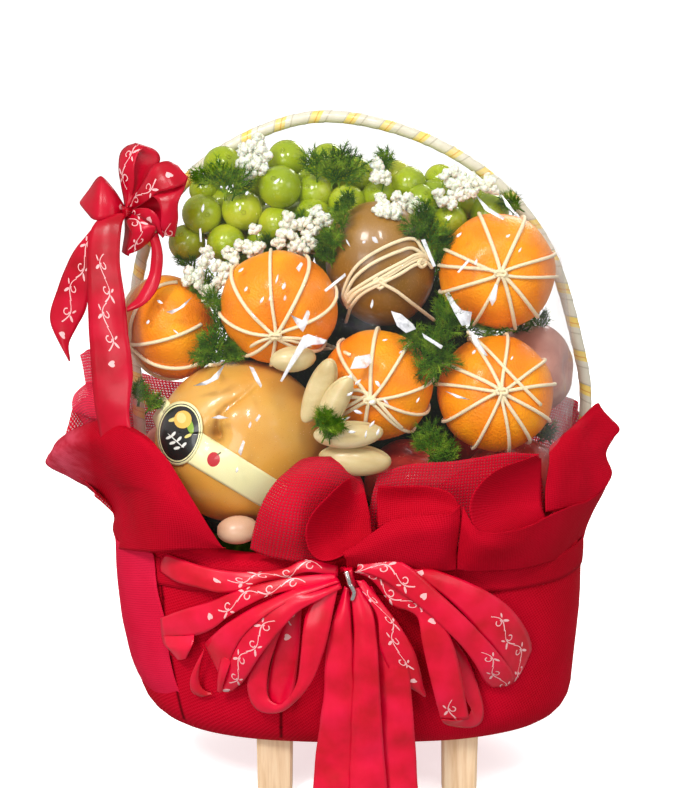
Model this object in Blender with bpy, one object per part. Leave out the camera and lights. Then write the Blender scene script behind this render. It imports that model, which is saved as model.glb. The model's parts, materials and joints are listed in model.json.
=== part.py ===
"""Fruit gift basket: a cloth-wrapped oval tub on four feet, with an arched handle, a ruffled cloth
collar, two satin bows and a film-covered heap of tied mandarins, pear, grapes, apples and greens.

Blender 4.5.  Lengths below are millimetres and become metres in the meshes.
+Z is up, -Y is the front.  The origin is the centre of the whole basket's box on the ground.
"""
import math
import random

import bmesh
import bpy
from mathutils import Matrix, Vector

MM = 0.001
GAP = 0.3                       # air between pieces that touch
FRAME_SHIFT = (14.4, -2.2, 0.0)  # from the tub's centre to the centre of the whole box

# ---- tub, feet and bed -----------------------------------------------------------------------
FOOT_HEIGHT = 40.0
TUB_TOP = 162.0
TUB_RIM = (151.0, 104.0)        # half width, half depth at the tied waist
TUB_FLOOR = (139.0, 93.0)
TUB_FLOOR_OFFSET = 6.0          # the floor sits a little to the right of the rim
TUB_POWER = 2.5                 # squareness of the oval
TUB_EDGE = 20.0                 # round of the lower edge
TUB_SWELL = 0.35                # how far the sides belly out between floor and rim
TUB_SIDES = 36
TUB_LEVELS = [0.0, 3.0, 9.0, 20.0, 55.0, TUB_TOP - FOOT_HEIGHT]
FOOT_SIZE = (22.0, 14.0)
FOOT_CHAMFER = 1.5
FOOT_PLACES = [(-48.0, -66.0), (70.0, -66.0), (-48.0, 66.0), (70.0, 66.0)]
BED_SIZE = (126.0, 88.0)
BED_TOP = 169.0
BED_BEVEL = 3.0
CORE_CENTRE = (-2.0, 8.0)
CORE_RINGS = [                  # height, half width, half depth of the block of greens
    (BED_TOP - 3.0, 74, 11), (215, 70, 11), (262, 80, 9), (300, 76, 8), (318, 66, 6),
]

# ---- handle: centre line of the arch in the plane Y = HANDLE_Y, as (X, Z) ----------------------
HANDLE_Y = 16.0
HANDLE_RADIUS = 3.8
HANDLE_SIDES = 6
HANDLE_STEPS = 3                # tube sections between two listed places
HANDLE_ARCH = [
    (-136, 163), (-139, 225), (-141, 290), (-130, 347), (-99, 388), (-56, 414), (-11, 423),
    (46, 410), (95, 380), (129, 336), (149, 275), (155, 230), (146, 163),
]

# ---- large fruit: centre, direction of the fruit's pole, equator radius, pole radius -----------
FRUITS = {
    "mandarin_1": ((-114, -22, 293), (-0.86, -0.42, -0.30), 33.5, 28.0),
    "mandarin_2": ((-44, -54, 311), (-0.04, -1.0, -0.40), 36.5, 31.0),
    "mandarin_3": ((91.5, -38, 331), (0.0, -1.0, 0.12), 36.5, 31.0),
    "mandarin_4": ((16.5, -68, 265), (-0.15, -1.0, -0.10), 34.5, 30.0),
    "mandarin_5": ((90, -64, 259), (0.05, -1.0, 0.25), 36.0, 30.0),
    "red_fruit_1": ((117, -1, 262), (0.9, -0.4, 0.1), 30.0, 28.0),
    "red_fruit_2": ((39, -52, 199), (0.1, -0.3, 1.0), 30.0, 27.0),
    "red_fruit_3": ((104, -46, 198), (0.1, -0.5, 1.0), 31.0, 28.0),
    "plum_1": ((-119, -8, 211), (0.0, -1.0, 0.3), 16.0, 15.0),
    "plum_2": ((-69, -88, 179.5), (1.0, 0.0, 0.1), 9.0, 13.0),
    "mandarin_6": ((-40, 54, 271), (0.0, 1.0, 0.2), 35.0, 31.0),
    "mandarin_7": ((44, 54, 269), (0.0, 1.0, 0.2), 35.5, 31.0),
    "red_fruit_4": ((-78, 50, 204), (-0.2, 0.4, 1.0), 33.0, 30.0),
    "red_fruit_5": ((0, 56, 203), (0.0, 0.3, 1.0), 33.5, 30.0),
    "red_fruit_6": ((78, 48, 204), (0.2, 0.4, 1.0), 33.0, 30.0),
}
PEAR_CENTRE = (-68.5, -50.5, 225)
PEAR_SEMI = (54.0, 45.0, 51.5)
BROWN_CENTRE = (19, -31, 335)
BROWN_SEMI = (34.0, 27.0, 39.5)
BROWN_TILT = math.radians(-14)
STEM_WAY = Vector((-0.42, -0.88, -0.02)).normalized()   # where the pear's stalk end looks
STEM_HOLLOW = (0.10, 0.28)      # depth as a share of the radius, and spread
CREASE_WAY = (0.62, 0.78)       # the pear's crease runs up and to the right from the stalk end
CREASE_LENGTH = 0.9
CREASE_DEPTH = 0.05
CREASE_SPREAD = 0.13
FRUIT_SHAPE = {                 # dimple at the pole, sides, rows
    "mandarin": (1.5, 13, 8), "red_fruit": (5.0, 12, 7), "plum": (0.0, 9, 5),
}
DIMPLE_SPREAD = 0.35

TIE_SPOKES = {                  # spokes of each cord tie, in degrees round the knot
    "mandarin_1": (8, 62, 118, 170, 214, 262, 318),
    "mandarin_2": (20, 62, 98, 140, 182, 228, 262, 318),
    "mandarin_3": (12, 40, 66, 112, 160, 182, 204, 244, 290, 330),
    "mandarin_4": (8, 50, 92, 128, 176, 212, 262, 310, 338),
    "mandarin_5": (12, 38, 82, 112, 150, 170, 204, 246, 282, 300, 332),
    "mandarin_6": (15, 75, 135, 195, 255, 315),
    "mandarin_7": (0, 60, 120, 180, 240, 300),
}
CORD_WIDTH = 2.4
CORD_HEIGHT = 1.5
CORD_LIFT = 0.9                 # underside of the cords above the skin
TIE_STEPS = 4                   # sections of one spoke
TIE_START = 0.13                # the spokes begin and end at these angles from the knot
TIE_END = math.radians(90)
TIE_KNOT = (1.2, 5.6)           # height of the knot's underside and top above the skin
BAND_SWEEP = (28, 150)          # degrees the brown fruit's band of cords runs over
BAND_HALF = 0.2
BAND_LEAN = math.radians(52)
BAND_STEPS = 8

# ---- grapes: the front ones by place, the rest by a rule on the core ---------------------------
GRAPE_RADIUS = 13.0
GRAPE_CORE = ((-6, 16, 355), (91.0, 25.0, 24.0))
FRONT_GRAPES = [
    (-41, -4, 397), (-45, -18, 379), (-69, -14, 366), (-95, -12, 363), (-101, -4, 345),
    (-80, -14, 343), (-52, -14, 354), (-22, -8, 378), (-22, -12, 360), (-88, 4, 384),
    (32, -2, 384), (19, -8, 372), (45, -8, 371), (3, -8, 388), (61, -2, 381), (64, -10, 358),
    (84, -4, 364), (-65, 4, 387), (-20, 8, 396),
]
BACK_GRAPES = 6
BACK_TRIES = 4000
GRAPE_SPACING = 21.0
GRAPE_AIR = 0.6

# ---- cream pods: centre, long half axis direction, half length, half width ---------------------
PODS = [
    ((-34, -92, 286), (1.0, 0.25, 0.05), 12.0, 7.0),
    ((-20, -93, 269), (0.12, -0.1, 1.0), 16.0, 7.5),
    ((-1, -104, 242), (1.0, 0.0, 0.05), 18.0, 7.5),
    ((3, -96, 224.5), (1.0, 0.0, -0.08), 19.0, 8.5),
    ((-8, -106, 260), (0.2, 0.1, 1.0), 9.5, 6.0),
]

# ---- tufts of fine fern: centre and wanted reach -----------------------------------------------
FERNS = [
    ((-79, -28, 380), 18), ((-12, -21, 391), 20), ((-8, -42, 352), 17), ((51, -46, 356), 20),
    ((55, -84, 297), 24), ((-84, -58, 284), 24), ((-20, -98, 240), 16), ((56, -84, 222), 24),
    ((-124, -56, 256), 14), ((122, -30, 232), 16),
]
FERN_FRONDS = 9
FERN_NOTCH = 0.45               # reach between two fronds
FERN_HEART = 2.4                # half thickness at the middle
FERN_AIR = 0.8
FERN_STEPS = 18                 # millimetres a tuft may come forward for room

# ---- sprays of small white flowers: the points of each spray's stem ----------------------------
SPRAYS = [
    [(-58, -24, 399), (-63, -28, 388)],
    [(-101, -26, 328), (-90, -34, 324), (-80, -34, 333), (-69, -36, 341)],
    [(-60, -34, 347), (-48, -36, 352), (-34, -34, 353), (-20, -30, 362)],
    [(16, -26, 377), (30, -28, 371), (45, -27, 371)],
    [(54, -24, 383), (68, -24, 379), (83, -22, 381)],
]
FLOWER_RADIUS = 4.6
FLOWER_AIR = 0.7
FLOWER_STEM = 1.5

# ---- oval label with its band, on the pear: distances from the pear's centre --------------------
LABEL_START = Vector((-43.0, 0.0, 6.5))
LABEL_ALONG = Vector((0.80, 0.0, -0.60))
LABEL_ACROSS = Vector((0.60, 0.0, 0.80))
LABEL_RUN = (-17.5, 55.5)       # from the oval's far edge to the band's end
LABEL_STEPS = 10
LABEL_OVAL = (18.5, 17.5)       # half length, half width
LABEL_BAND = 9.5                # half width
LABEL_TIP = 3.0
LABEL_LIFT = (2.4, 3.2)

# ---- film ----------------------------------------------------------------------------------------
FILM_STANDOFF = 1.8             # from the heap's convex hull
FILM_THICK = 0.9
FILM_FACET = 3.5                # corners closer than this are merged
FILM_HEM = 176.0

# ---- ribbons and collar ------------------------------------------------------------------------
RIBBON_THICK = 1.0
RIBBON_GATHER = 0.35            # width at a knot, and the run over which it opens out
BOW_REST = 4.5                  # bow loops clear the cloth by this
TAIL_REST = 3.0
BOW_KNOT = (-1, -121, 152)
BOW_LOOPS = [                   # tip (X, Z), ribbon width, lift off the cloth
    ((-119, 156), 18, 8), ((-117, 119), 26, 13), ((-84, 87), 26, 9), ((-37, 69), 28, 18),
    ((105, 124), 26, 14), ((94, 98), 24, 20), ((70, 64), 27, 9),
]
BOW_TAILS = [                   # end (X, Z), ribbon width, lift
    ((-14, 8), 20, 9), ((9, 6), 24, 14), ((31, 9), 22, 10), ((47, 78), 22, 17),
]
BOW_KNOT_SIZE = (9.0, 7.0, 9.5)
LOOP_STEPS = 8
TAIL_STEPS = 5
WIRE_TIE = ((0, -130.6, 154), 1.8, 6.0)   # centre, half width, half length
WAIST_BAND = (22.0, 3.0)        # lower and upper edge below the tub's top
WAIST_LIFT = (0.6, 1.5)
SIDE_KNOT = (-143, -27, 364)
SIDE_KNOT_SIZE = (8.0, 8.0, 8.0)
SIDE_PUFF = 9.0                 # half thickness of an open loop
SIDE_STEPS = 7
SIDE_LOOPS = [                  # tip of each loop from the knot, and the ribbon's width
    ((8, -8, 44), 24), ((36, -25, 28), 24), ((33, -34, -8), 22), ((10, -27, -26), 20),
    ((-30, -8, 16), 24),
]
SIDE_TAILS = [                  # points of each tail, and its width
    ([(-4, -6, 2), (-16, -14, -14), (-34, -16, -40), (-46, -16, -66), (-38, -16, -92)], 22),
    ([(-2, -6, 0), (-9, -20, -12), (-12, -30, -50), (-9, -34, -95), (-5, -33, -127)], 24),
    ([(6, -9, -4), (15, -19, -20), (17, -30, -40), (5, -44, -56), (-8, -46, -66)], 17),
]
COLLAR_BASE = 162.6
COLLAR_THICK = 1.4
COLLAR_STEPS = 64
COLLAR_ROWS = 2
COLLAR_PROFILE = [              # direction in degrees, height of the edge, reach past the rim
    (0, 66, 10), (14, 62, 20), (40, 66, 30), (65, 62, 24), (90, 68, 28), (115, 62, 24),
    (140, 70, 32), (162, 92, 30), (172, 74, 30), (180, 36, 44), (187, 52, 40), (200, 70, 8),
    (214, 48, 12), (228, 22, 12), (238, 9, 10), (246, 22, 20), (253, 62, 26), (262, 66, 24),
    (271, 34, 22), (279, 50, 20), (289, 62, 26), (299, 40, 24), (307, 62, 28), (320, 70, 20),
    (331, 46, 24), (342, 56, 22), (351, 50, 17),
]
COLLAR_WAVES = 17               # ruffles round the collar
COLLAR_WAVE = 5.0
COLLAR_GAP = 0.4

COLOURS = {                     # base colour, roughness
    "cloth": ((0.50, 0.005, 0.03), 0.75), "satin": ((0.80, 0.01, 0.06), 0.35),
    "wood": ((0.75, 0.60, 0.38), 0.6), "wrap": ((0.85, 0.82, 0.70), 0.45),
    "mandarin": ((0.90, 0.30, 0.02), 0.45), "pear": ((0.80, 0.50, 0.15), 0.5),
    "brown_fruit": ((0.28, 0.16, 0.04), 0.7), "red_fruit": ((0.55, 0.06, 0.06), 0.4),
    "plum": ((0.70, 0.40, 0.30), 0.5), "grape": ((0.42, 0.50, 0.04), 0.35),
    "cord": ((0.85, 0.74, 0.48), 0.7), "pod": ((0.82, 0.74, 0.52), 0.55),
    "fern": ((0.05, 0.14, 0.02), 0.8), "flower": ((0.90, 0.89, 0.80), 0.9),
    "label": ((0.90, 0.86, 0.50), 0.5), "film": ((0.92, 0.94, 0.95), 0.05),
    "green": ((0.03, 0.07, 0.02), 0.9), "silver": ((0.75, 0.75, 0.75), 0.3),
}


# ---- small helpers -----------------------------------------------------------------------------
def clear_scene():
    for ob in list(bpy.data.objects):
        bpy.data.objects.remove(ob, do_unlink=True)


def material(key):
    """One Principled material for each colour name."""
    found = bpy.data.materials.get(key)
    if found:
        return found
    colour, rough = COLOURS[key]
    mat = bpy.data.materials.new(key)
    mat.use_nodes = True
    shader = mat.node_tree.nodes["Principled BSDF"]
    shader.inputs["Base Color"].default_value = (*colour, 1.0)
    shader.inputs["Roughness"].default_value = rough
    shader.inputs["Metallic"].default_value = 1.0 if key == "silver" else 0.0
    if key == "film":
        shader.inputs["Alpha"].default_value = 0.15
    return mat


def add_object(name, bm, key):
    """Make an object from a bmesh in millimetres, with its faces pointing out."""
    bmesh.ops.recalc_face_normals(bm, faces=bm.faces)
    for vert in bm.verts:
        vert.co = vert.co * MM
    mesh = bpy.data.meshes.new(name)
    bm.to_mesh(mesh)
    bm.free()
    ob = bpy.data.objects.new(name, mesh)
    bpy.context.collection.objects.link(ob)
    mesh.materials.append(material(key))
    mesh.shade_smooth()
    mesh.set_sharp_from_angle(angle=math.radians(40))
    return ob


def loft(rings):
    """A closed skin over equal rings of points; a one-point ring closes to a tip."""
    bm = bmesh.new()
    rows = [[bm.verts.new(p) for p in ring] for ring in rings]
    for low, high in zip(rows, rows[1:]):
        count = max(len(low), len(high))
        for i in range(count):
            j = (i + 1) % count
            corners = [low[i % len(low)], low[j % len(low)], high[j % len(high)], high[i % len(high)]]
            bm.faces.new(list(dict.fromkeys(corners)))
    for row in (rows[0], rows[-1]):
        if len(row) > 2:
            bm.faces.new(row)
    return bm


def oval(angle, semi, power=TUB_POWER):
    """A point of a squared oval, at a direction given in radians."""
    c, s = math.cos(angle), math.sin(angle)
    r = (abs(c / semi[0]) ** power + abs(s / semi[1]) ** power) ** (-1.0 / power)
    return r * c, r * s


def turn(count):
    return [2 * math.pi * i / count for i in range(count)]


def lerp(a, b, t):
    return a + (b - a) * t


def smooth_path(points, steps):
    """Points on a smooth curve through the given ones."""
    pts = [Vector(p) for p in points]
    pts = [2 * pts[0] - pts[1]] + pts + [2 * pts[-1] - pts[-2]]
    out = []
    for k in range(1, len(pts) - 2):
        a, b, c, d = pts[k - 1:k + 3]
        for i in range(steps):
            t = i / steps
            out.append(0.5 * (2 * b + (c - a) * t + (2 * a - 5 * b + 4 * c - d) * t ** 2
                              + (3 * b - a - 3 * c + d) * t ** 3))
    out.append(pts[-2])
    return out


def fuse(base, parts, solver="EXACT"):
    """Union the parts into the base object and remove them."""
    group = bpy.data.collections.new(base.name + "_parts")
    for ob in parts:
        group.objects.link(ob)
    mod = base.modifiers.new("fuse", "BOOLEAN")
    mod.operation = "UNION"
    mod.solver = solver
    mod.operand_type = "COLLECTION"
    mod.collection = group
    graph = bpy.context.evaluated_depsgraph_get()
    mesh = bpy.data.meshes.new_from_object(base.evaluated_get(graph))
    base.modifiers.clear()
    old = base.data
    base.data = mesh
    bpy.data.meshes.remove(old)
    for ob in parts:
        bpy.data.objects.remove(ob, do_unlink=True)
    bpy.data.collections.remove(group)
    drop_scraps(base)
    return base


def drop_scraps(ob):
    """Keep the largest connected shell, which also fills hollows that the union sealed."""
    bm = bmesh.new()
    bm.from_mesh(ob.data)
    left = set(bm.verts)
    shells = []
    while left:
        seed = left.pop()
        shell, front = {seed}, [seed]
        while front:
            for edge in front.pop().link_edges:
                for vert in edge.verts:
                    if vert in left:
                        left.remove(vert)
                        shell.add(vert)
                        front.append(vert)
        shells.append(shell)
    keep = max(shells, key=len)
    for shell in shells:
        if shell is not keep:
            bmesh.ops.delete(bm, geom=list(shell), context="VERTS")
    bmesh.ops.triangulate(bm, faces=bm.faces)
    bm.to_mesh(ob.data)
    bm.free()
    ob.data.shade_smooth()
    ob.data.set_sharp_from_angle(angle=math.radians(40))


# ---- fruit shapes ------------------------------------------------------------------------------
class Fruit:
    """A round fruit as a closed surface that gives its point for any direction."""

    def __init__(self, centre, pole, equator, polar, dimple=0.0):
        self.centre = Vector(centre)
        axis = Vector(pole).normalized()
        side = Vector((0.0, 0.0, 1.0)).cross(axis)
        if side.length < 0.2:
            side = Vector((0.0, -1.0, 0.0)).cross(axis)
        side.normalize()
        self.frame = Matrix((side, axis.cross(side), axis)).transposed()
        self.equator = equator
        self.polar = polar
        self.dimple = dimple

    def point(self, polar_angle, azimuth, lift=0.0):
        s, c = math.sin(polar_angle), math.cos(polar_angle)
        dip = self.dimple * math.exp(-(s / DIMPLE_SPREAD) ** 2)
        flat = Vector(((self.equator + lift) * s * math.cos(azimuth),
                       (self.equator + lift) * s * math.sin(azimuth),
                       (self.polar + lift - dip) * c))
        return self.centre + self.frame @ flat

    def clearance(self, place):
        """Distance from a point outside to the surface, never more than the true one."""
        local = self.frame.transposed() @ (Vector(place) - self.centre)
        scaled = Vector((local.x / self.equator, local.y / self.equator, local.z / self.polar))
        return (scaled.length - 1.0) * min(self.equator, self.polar)

    def mesh(self, sides, rows):
        rings = [[self.point(0.0, 0.0)]]
        for k in range(1, rows):
            rings.append([self.point(math.pi * k / rows, a) for a in turn(sides)])
        rings.append([self.point(math.pi, 0.0)])
        return loft(rings)


def make_fruits():
    """Mandarins, red fruit and the two small pale fruits."""
    shapes = {}
    for name, (centre, pole, equator, polar) in FRUITS.items():
        kind = name.rsplit("_", 1)[0]
        dimple, sides, rows = FRUIT_SHAPE[kind]
        shapes[name] = Fruit(centre, pole, equator, polar, dimple)
        add_object(name, shapes[name].mesh(sides, rows), kind)
    return shapes


class Ellipsoid(Fruit):
    """The pear and the brown fruit: three different half axes, turned about Y."""

    def __init__(self, centre, semi, tilt, crease=None):
        self.centre = Vector(centre)
        self.semi = semi
        self.turned = Matrix.Rotation(tilt, 3, "Y")
        self.crease = crease

    def point(self, polar_angle, azimuth, lift=0.0):
        s, c = math.sin(polar_angle), math.cos(polar_angle)
        way = Vector((s * math.cos(azimuth), s * math.sin(azimuth), c))
        size = 1.0
        if self.crease:
            size -= self.crease(way)
        flat = Vector([way[i] * (self.semi[i] * size + lift) for i in range(3)])
        return self.centre + self.turned @ flat

    def clearance(self, place):
        local = self.turned.transposed() @ (Vector(place) - self.centre)
        scaled = Vector([local[i] / self.semi[i] for i in range(3)])
        return (scaled.length - 1.0) * min(self.semi)


def pear_crease(way):
    """The sunken stalk end, with a soft crease running up and to the right of it."""
    depth, spread = STEM_HOLLOW
    hollow = depth * math.exp(-((way - STEM_WAY).length / spread) ** 2)
    right, up = CREASE_WAY
    run = (way - STEM_WAY).dot(Vector((right, 0.0, up)))
    across = (way - STEM_WAY).dot(Vector((up, 0.0, -right)))
    if way.y > 0.0 or not 0.0 < run < CREASE_LENGTH:
        return hollow
    fold = CREASE_DEPTH * math.exp(-(across / CREASE_SPREAD) ** 2)
    return hollow + fold * (1.0 - run / CREASE_LENGTH)


def make_pear_and_brown_fruit(shapes):
    pear = Ellipsoid(PEAR_CENTRE, PEAR_SEMI, 0.0, pear_crease)
    brown = Ellipsoid(BROWN_CENTRE, BROWN_SEMI, BROWN_TILT)
    shapes["pear"] = pear
    shapes["brown_fruit"] = brown
    add_object("pear", pear.mesh(18, 11), "pear")
    add_object("brown_fruit", brown.mesh(13, 8), "brown_fruit")
    return pear, brown


# ---- cord ties ---------------------------------------------------------------------------------
def make_tie(name, fruit, spokes):
    """A star of cords from a knot at the fruit's pole down to just past its widest ring."""
    inner, outer = CORD_LIFT, CORD_LIFT + CORD_HEIGHT
    bm = bmesh.new()
    hub_low = bm.verts.new(fruit.point(0.0, 0.0, inner + TIE_KNOT[0]))
    hub_top = bm.verts.new(fruit.point(0.0, 0.0, TIE_KNOT[1]))
    arms = []
    for angle in [math.radians(a) for a in spokes]:
        rows = []
        for k in range(TIE_STEPS + 1):
            polar = lerp(TIE_START, TIE_END, k / TIE_STEPS)
            half = CORD_WIDTH * 0.6 / (fruit.equator * math.sin(polar))
            rows.append([bm.verts.new(fruit.point(polar, angle + s * half, lift))
                         for s, lift in ((-1, inner), (0, outer), (1, inner))])
        for low, high in zip(rows, rows[1:]):
            for i in range(3):
                j = (i + 1) % 3
                bm.faces.new([low[i], low[j], high[j], high[i]])
        bm.faces.new(rows[-1])
        left, ridge, right = rows[0]
        bm.faces.new([hub_top, left, ridge])
        bm.faces.new([hub_top, ridge, right])
        bm.faces.new([hub_low, right, left])
        arms.append(rows[0])
    for this, after in zip(arms, arms[1:] + arms[:1]):
        bm.faces.new([hub_top, this[2], after[0]])
        bm.faces.new([hub_low, after[0], this[2]])
    return add_object(name, bm, "cord")


def make_brown_fruit_tie(brown):
    """The flat band of cords, side by side, across the brown fruit's front."""
    outer, inner = CORD_LIFT + CORD_HEIGHT, CORD_LIFT
    rings = []
    for k in range(BAND_STEPS + 1):
        polar = math.radians(lerp(*BAND_SWEEP, k / BAND_STEPS))
        ring = [brown.point(polar, math.radians(270) + s * BAND_HALF, lift)
                for s, lift in ((-1, outer), (1, outer), (1, inner), (-1, inner))]
        rings.append([swing(brown, p) for p in ring])
    return add_object("brown_fruit_tie", loft(rings), "cord")


def swing(brown, place):
    """Turn a point of the band about Y, at the same height over the skin, so that it leans."""
    off = Matrix.Rotation(BAND_LEAN, 3, "Y") @ (place - brown.centre)
    local = brown.turned.transposed() @ off
    want = brown.turned.transposed() @ (place - brown.centre)
    lift = Vector([want[i] / brown.semi[i] for i in range(3)]).length
    now = Vector([local[i] / brown.semi[i] for i in range(3)]).length
    return brown.centre + brown.turned @ (local * (lift / now))


# ---- tub, feet, bed and core -------------------------------------------------------------------
def tub_section(z):
    """Half axes of the tub's oval at a height, and its shift along X."""
    t = min(max((z - FOOT_HEIGHT) / (TUB_TOP - FOOT_HEIGHT), 0.0), 1.0)
    t = min(1.0, t + TUB_SWELL * math.sin(math.pi * t))
    semi = [lerp(TUB_FLOOR[i], TUB_RIM[i], t) for i in (0, 1)]
    return semi, TUB_FLOOR_OFFSET * (1.0 - t)


def tub_ring(z):
    semi, shift = tub_section(z)
    edge = max(0.0, 1.0 - (z - FOOT_HEIGHT) / TUB_EDGE)
    inset = TUB_EDGE * (1.0 - math.sqrt(1.0 - edge * edge))
    points = []
    for a in turn(TUB_SIDES):
        x, y = oval(a, (semi[0] - inset, semi[1] - inset))
        points.append((x + shift, y, z))
    return points


def tub_front(x, z):
    """Y of the tub's front face at a place on it; past its ends the last place counts."""
    semi, shift = tub_section(z)
    across = min(abs(x - shift) / semi[0], 0.97)
    return -semi[1] * (1.0 - across ** TUB_POWER) ** (1.0 / TUB_POWER)


def make_tub():
    add_object("wrapped_tub", loft([tub_ring(FOOT_HEIGHT + h) for h in TUB_LEVELS]), "cloth")


def make_feet():
    for i, (x, y) in enumerate(FOOT_PLACES):
        rings = []
        for z, grow in ((0.0, -1.0), (1.0, 0.0), (FOOT_HEIGHT - GAP, 0.5)):
            hx, hy = FOOT_SIZE[0] / 2 + grow, FOOT_SIZE[1] / 2 + grow
            rings.append([(x + sx * (hx - FOOT_CHAMFER * a), y + sy * (hy - FOOT_CHAMFER * (1 - a)), z)
                          for sx, sy, a in ((1, -1, 1), (1, -1, 0), (1, 1, 0), (1, 1, 1),
                                            (-1, 1, 1), (-1, 1, 0), (-1, -1, 0), (-1, -1, 1))])
        add_object(f"foot_{i + 1}", loft(rings), "wood")


def make_bed_and_core():
    """The bed of packing on the tub and the upright block of greens that the fruit leans on."""
    top = [size - BED_BEVEL for size in BED_SIZE]
    bed = [[(*oval(a, semi), z) for a in turn(28)]
           for semi, z in ((BED_SIZE, TUB_TOP + GAP), (top, BED_TOP))]
    block = add_object("greens_core", loft(bed), "green")
    rings = []
    for z, half_x, half_y in CORE_RINGS:
        rings.append([(CORE_CENTRE[0] + x, CORE_CENTRE[1] + y, z)
                      for x, y in (oval(a, (half_x, half_y)) for a in turn(20))])
    fuse(block, [add_object("core_column", loft(rings), "green")])


# ---- handle ------------------------------------------------------------------------------------
def tube(points, radius, sides):
    """A closed tube along points that lie in a plane of constant Y."""
    rings = []
    for i, p in enumerate(points):
        ahead = points[min(i + 1, len(points) - 1)] - points[max(i - 1, 0)]
        along = ahead.normalized()
        side = Vector((0.0, 1.0, 0.0))
        up = along.cross(side).normalized()
        rings.append([p + radius * (math.cos(a) * side + math.sin(a) * up) for a in turn(sides)])
    return loft(rings)


def make_handle():
    path = smooth_path([(x, HANDLE_Y, z) for x, z in HANDLE_ARCH], HANDLE_STEPS)
    path[0].z = TUB_TOP + 4 * GAP
    path[-1].z = TUB_TOP + 4 * GAP
    add_object("handle", tube(path, HANDLE_RADIUS, HANDLE_SIDES), "wrap")


# ---- grapes, pods, ferns and flowers -----------------------------------------------------------
def free_room(place, shapes, grapes=()):
    """How far a point is from the nearest fruit, and from the grapes and their core if given."""
    room = min(shape.clearance(place) for shape in shapes.values())
    if not grapes:
        return room
    centre, semi = GRAPE_CORE
    off = Vector([(place[i] - centre[i]) / semi[i] for i in range(3)])
    near = min((Vector(place) - grape).length for grape in grapes) - GRAPE_RADIUS
    return min(room, near, (off.length - 1.0) * min(semi))


def ball(name, centre, radius, detail, key):
    bm = bmesh.new()
    bmesh.ops.create_icosphere(bm, subdivisions=detail, radius=radius)
    bmesh.ops.translate(bm, verts=bm.verts, vec=Vector(centre))
    return add_object(name, bm, key)


def make_grapes(shapes):
    """A core with the grapes fused on; each stands clear of the large fruit."""
    rng = random.Random(7)
    grapes = []
    for place in FRONT_GRAPES:
        spot = Vector(place)
        while free_room(spot, shapes) < GRAPE_RADIUS + GRAPE_AIR:
            spot.y += 0.5
            spot.z += 0.15
        grapes.append(spot)
    centre, semi = Vector(GRAPE_CORE[0]), GRAPE_CORE[1]
    tries = 0
    while len(grapes) < len(FRONT_GRAPES) + BACK_GRAPES and tries < BACK_TRIES:
        tries += 1
        across, rise = rng.uniform(-0.98, 0.98), rng.uniform(-0.75, 1.2)
        way = Vector((across, math.cos(rise), math.sin(rise)))
        round_off = math.sqrt(max(0.0, 1.0 - across * across)) ** 0.5
        spot = centre + Vector((way.x * semi[0], way.y * (semi[1] + 3) * round_off,
                                way.z * (semi[2] + 2) * round_off))
        near = min((spot - g).length for g in grapes)
        under_handle = spot.z < 374 - 0.0016 * (spot.x - 4) ** 2 or spot.y > HANDLE_Y + 20
        if near > GRAPE_SPACING and under_handle and free_room(spot, shapes) > GRAPE_RADIUS + GRAPE_AIR:
            grapes.append(spot)
    bm = bmesh.new()
    bmesh.ops.create_icosphere(bm, subdivisions=2, radius=1.0)
    for vert in bm.verts:
        vert.co = centre + Vector([vert.co[i] * semi[i] for i in range(3)])
    core = add_object("grape_heap", bm, "grape")
    balls = [ball(f"grape_{i}", g, GRAPE_RADIUS, 2, "grape") for i, g in enumerate(grapes)]
    fuse(core, balls)
    return grapes


def make_pods(shapes):
    for i, (centre, way, half_length, half_width) in enumerate(PODS):
        pod = Fruit(centre, way, half_width, half_length)
        shapes[f"pod_{i + 1}"] = pod
        add_object(f"cream_pod_{i + 1}", pod.mesh(8, 5), "pod")


def roomiest(place, shapes, grapes):
    """Bring a point forward to where a tuft's thick middle has the most room."""
    spots = [Vector(place) - Vector((0, step, 0)) for step in range(FERN_STEPS)]
    for spot in spots:
        if free_room(spot, shapes, grapes) >= FERN_HEART + 3 * FERN_AIR:
            return spot
    return max(spots, key=lambda spot: free_room(spot, shapes, grapes))


def frond_tip(heart, way, wanted, shapes, grapes):
    """The end of a frond that grows until something is in its way."""
    reach = FERN_HEART
    while reach < wanted and free_room(heart + way * (reach + 1.0), shapes, grapes) > FERN_AIR:
        reach += 1.0
    return reach


def make_ferns(shapes, grapes):
    """Each tuft is a flat star of tapering fronds round a thicker heart, fitted to its gap."""
    rng = random.Random(3)
    for i, (place, wanted) in enumerate(FERNS):
        heart = roomiest(place, shapes, grapes)
        lean = rng.uniform(0.0, 0.6)
        ways = [Vector((math.cos(a + lean), 0.0, math.sin(a + lean))) for a in turn(FERN_FRONDS)]
        tips = [frond_tip(heart, way, wanted * rng.uniform(0.8, 1.0), shapes, grapes) for way in ways]
        bm = bmesh.new()
        front = bm.verts.new(heart - Vector((0, FERN_HEART, 0)))
        back = bm.verts.new(heart + Vector((0, FERN_HEART, 0)))
        rim = []
        for k, way in enumerate(ways):
            after = (k + 1) % FERN_FRONDS
            between = (way + ways[after]).normalized()
            rim.append(bm.verts.new(heart + way * tips[k]))
            rim.append(bm.verts.new(heart + between * min(tips[k], tips[after]) * FERN_NOTCH))
        for p, q in zip(rim, rim[1:] + rim[:1]):
            bm.faces.new([front, p, q])
            bm.faces.new([back, q, p])
        add_object(f"fern_tuft_{i + 1}", bm, "fern")


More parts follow.
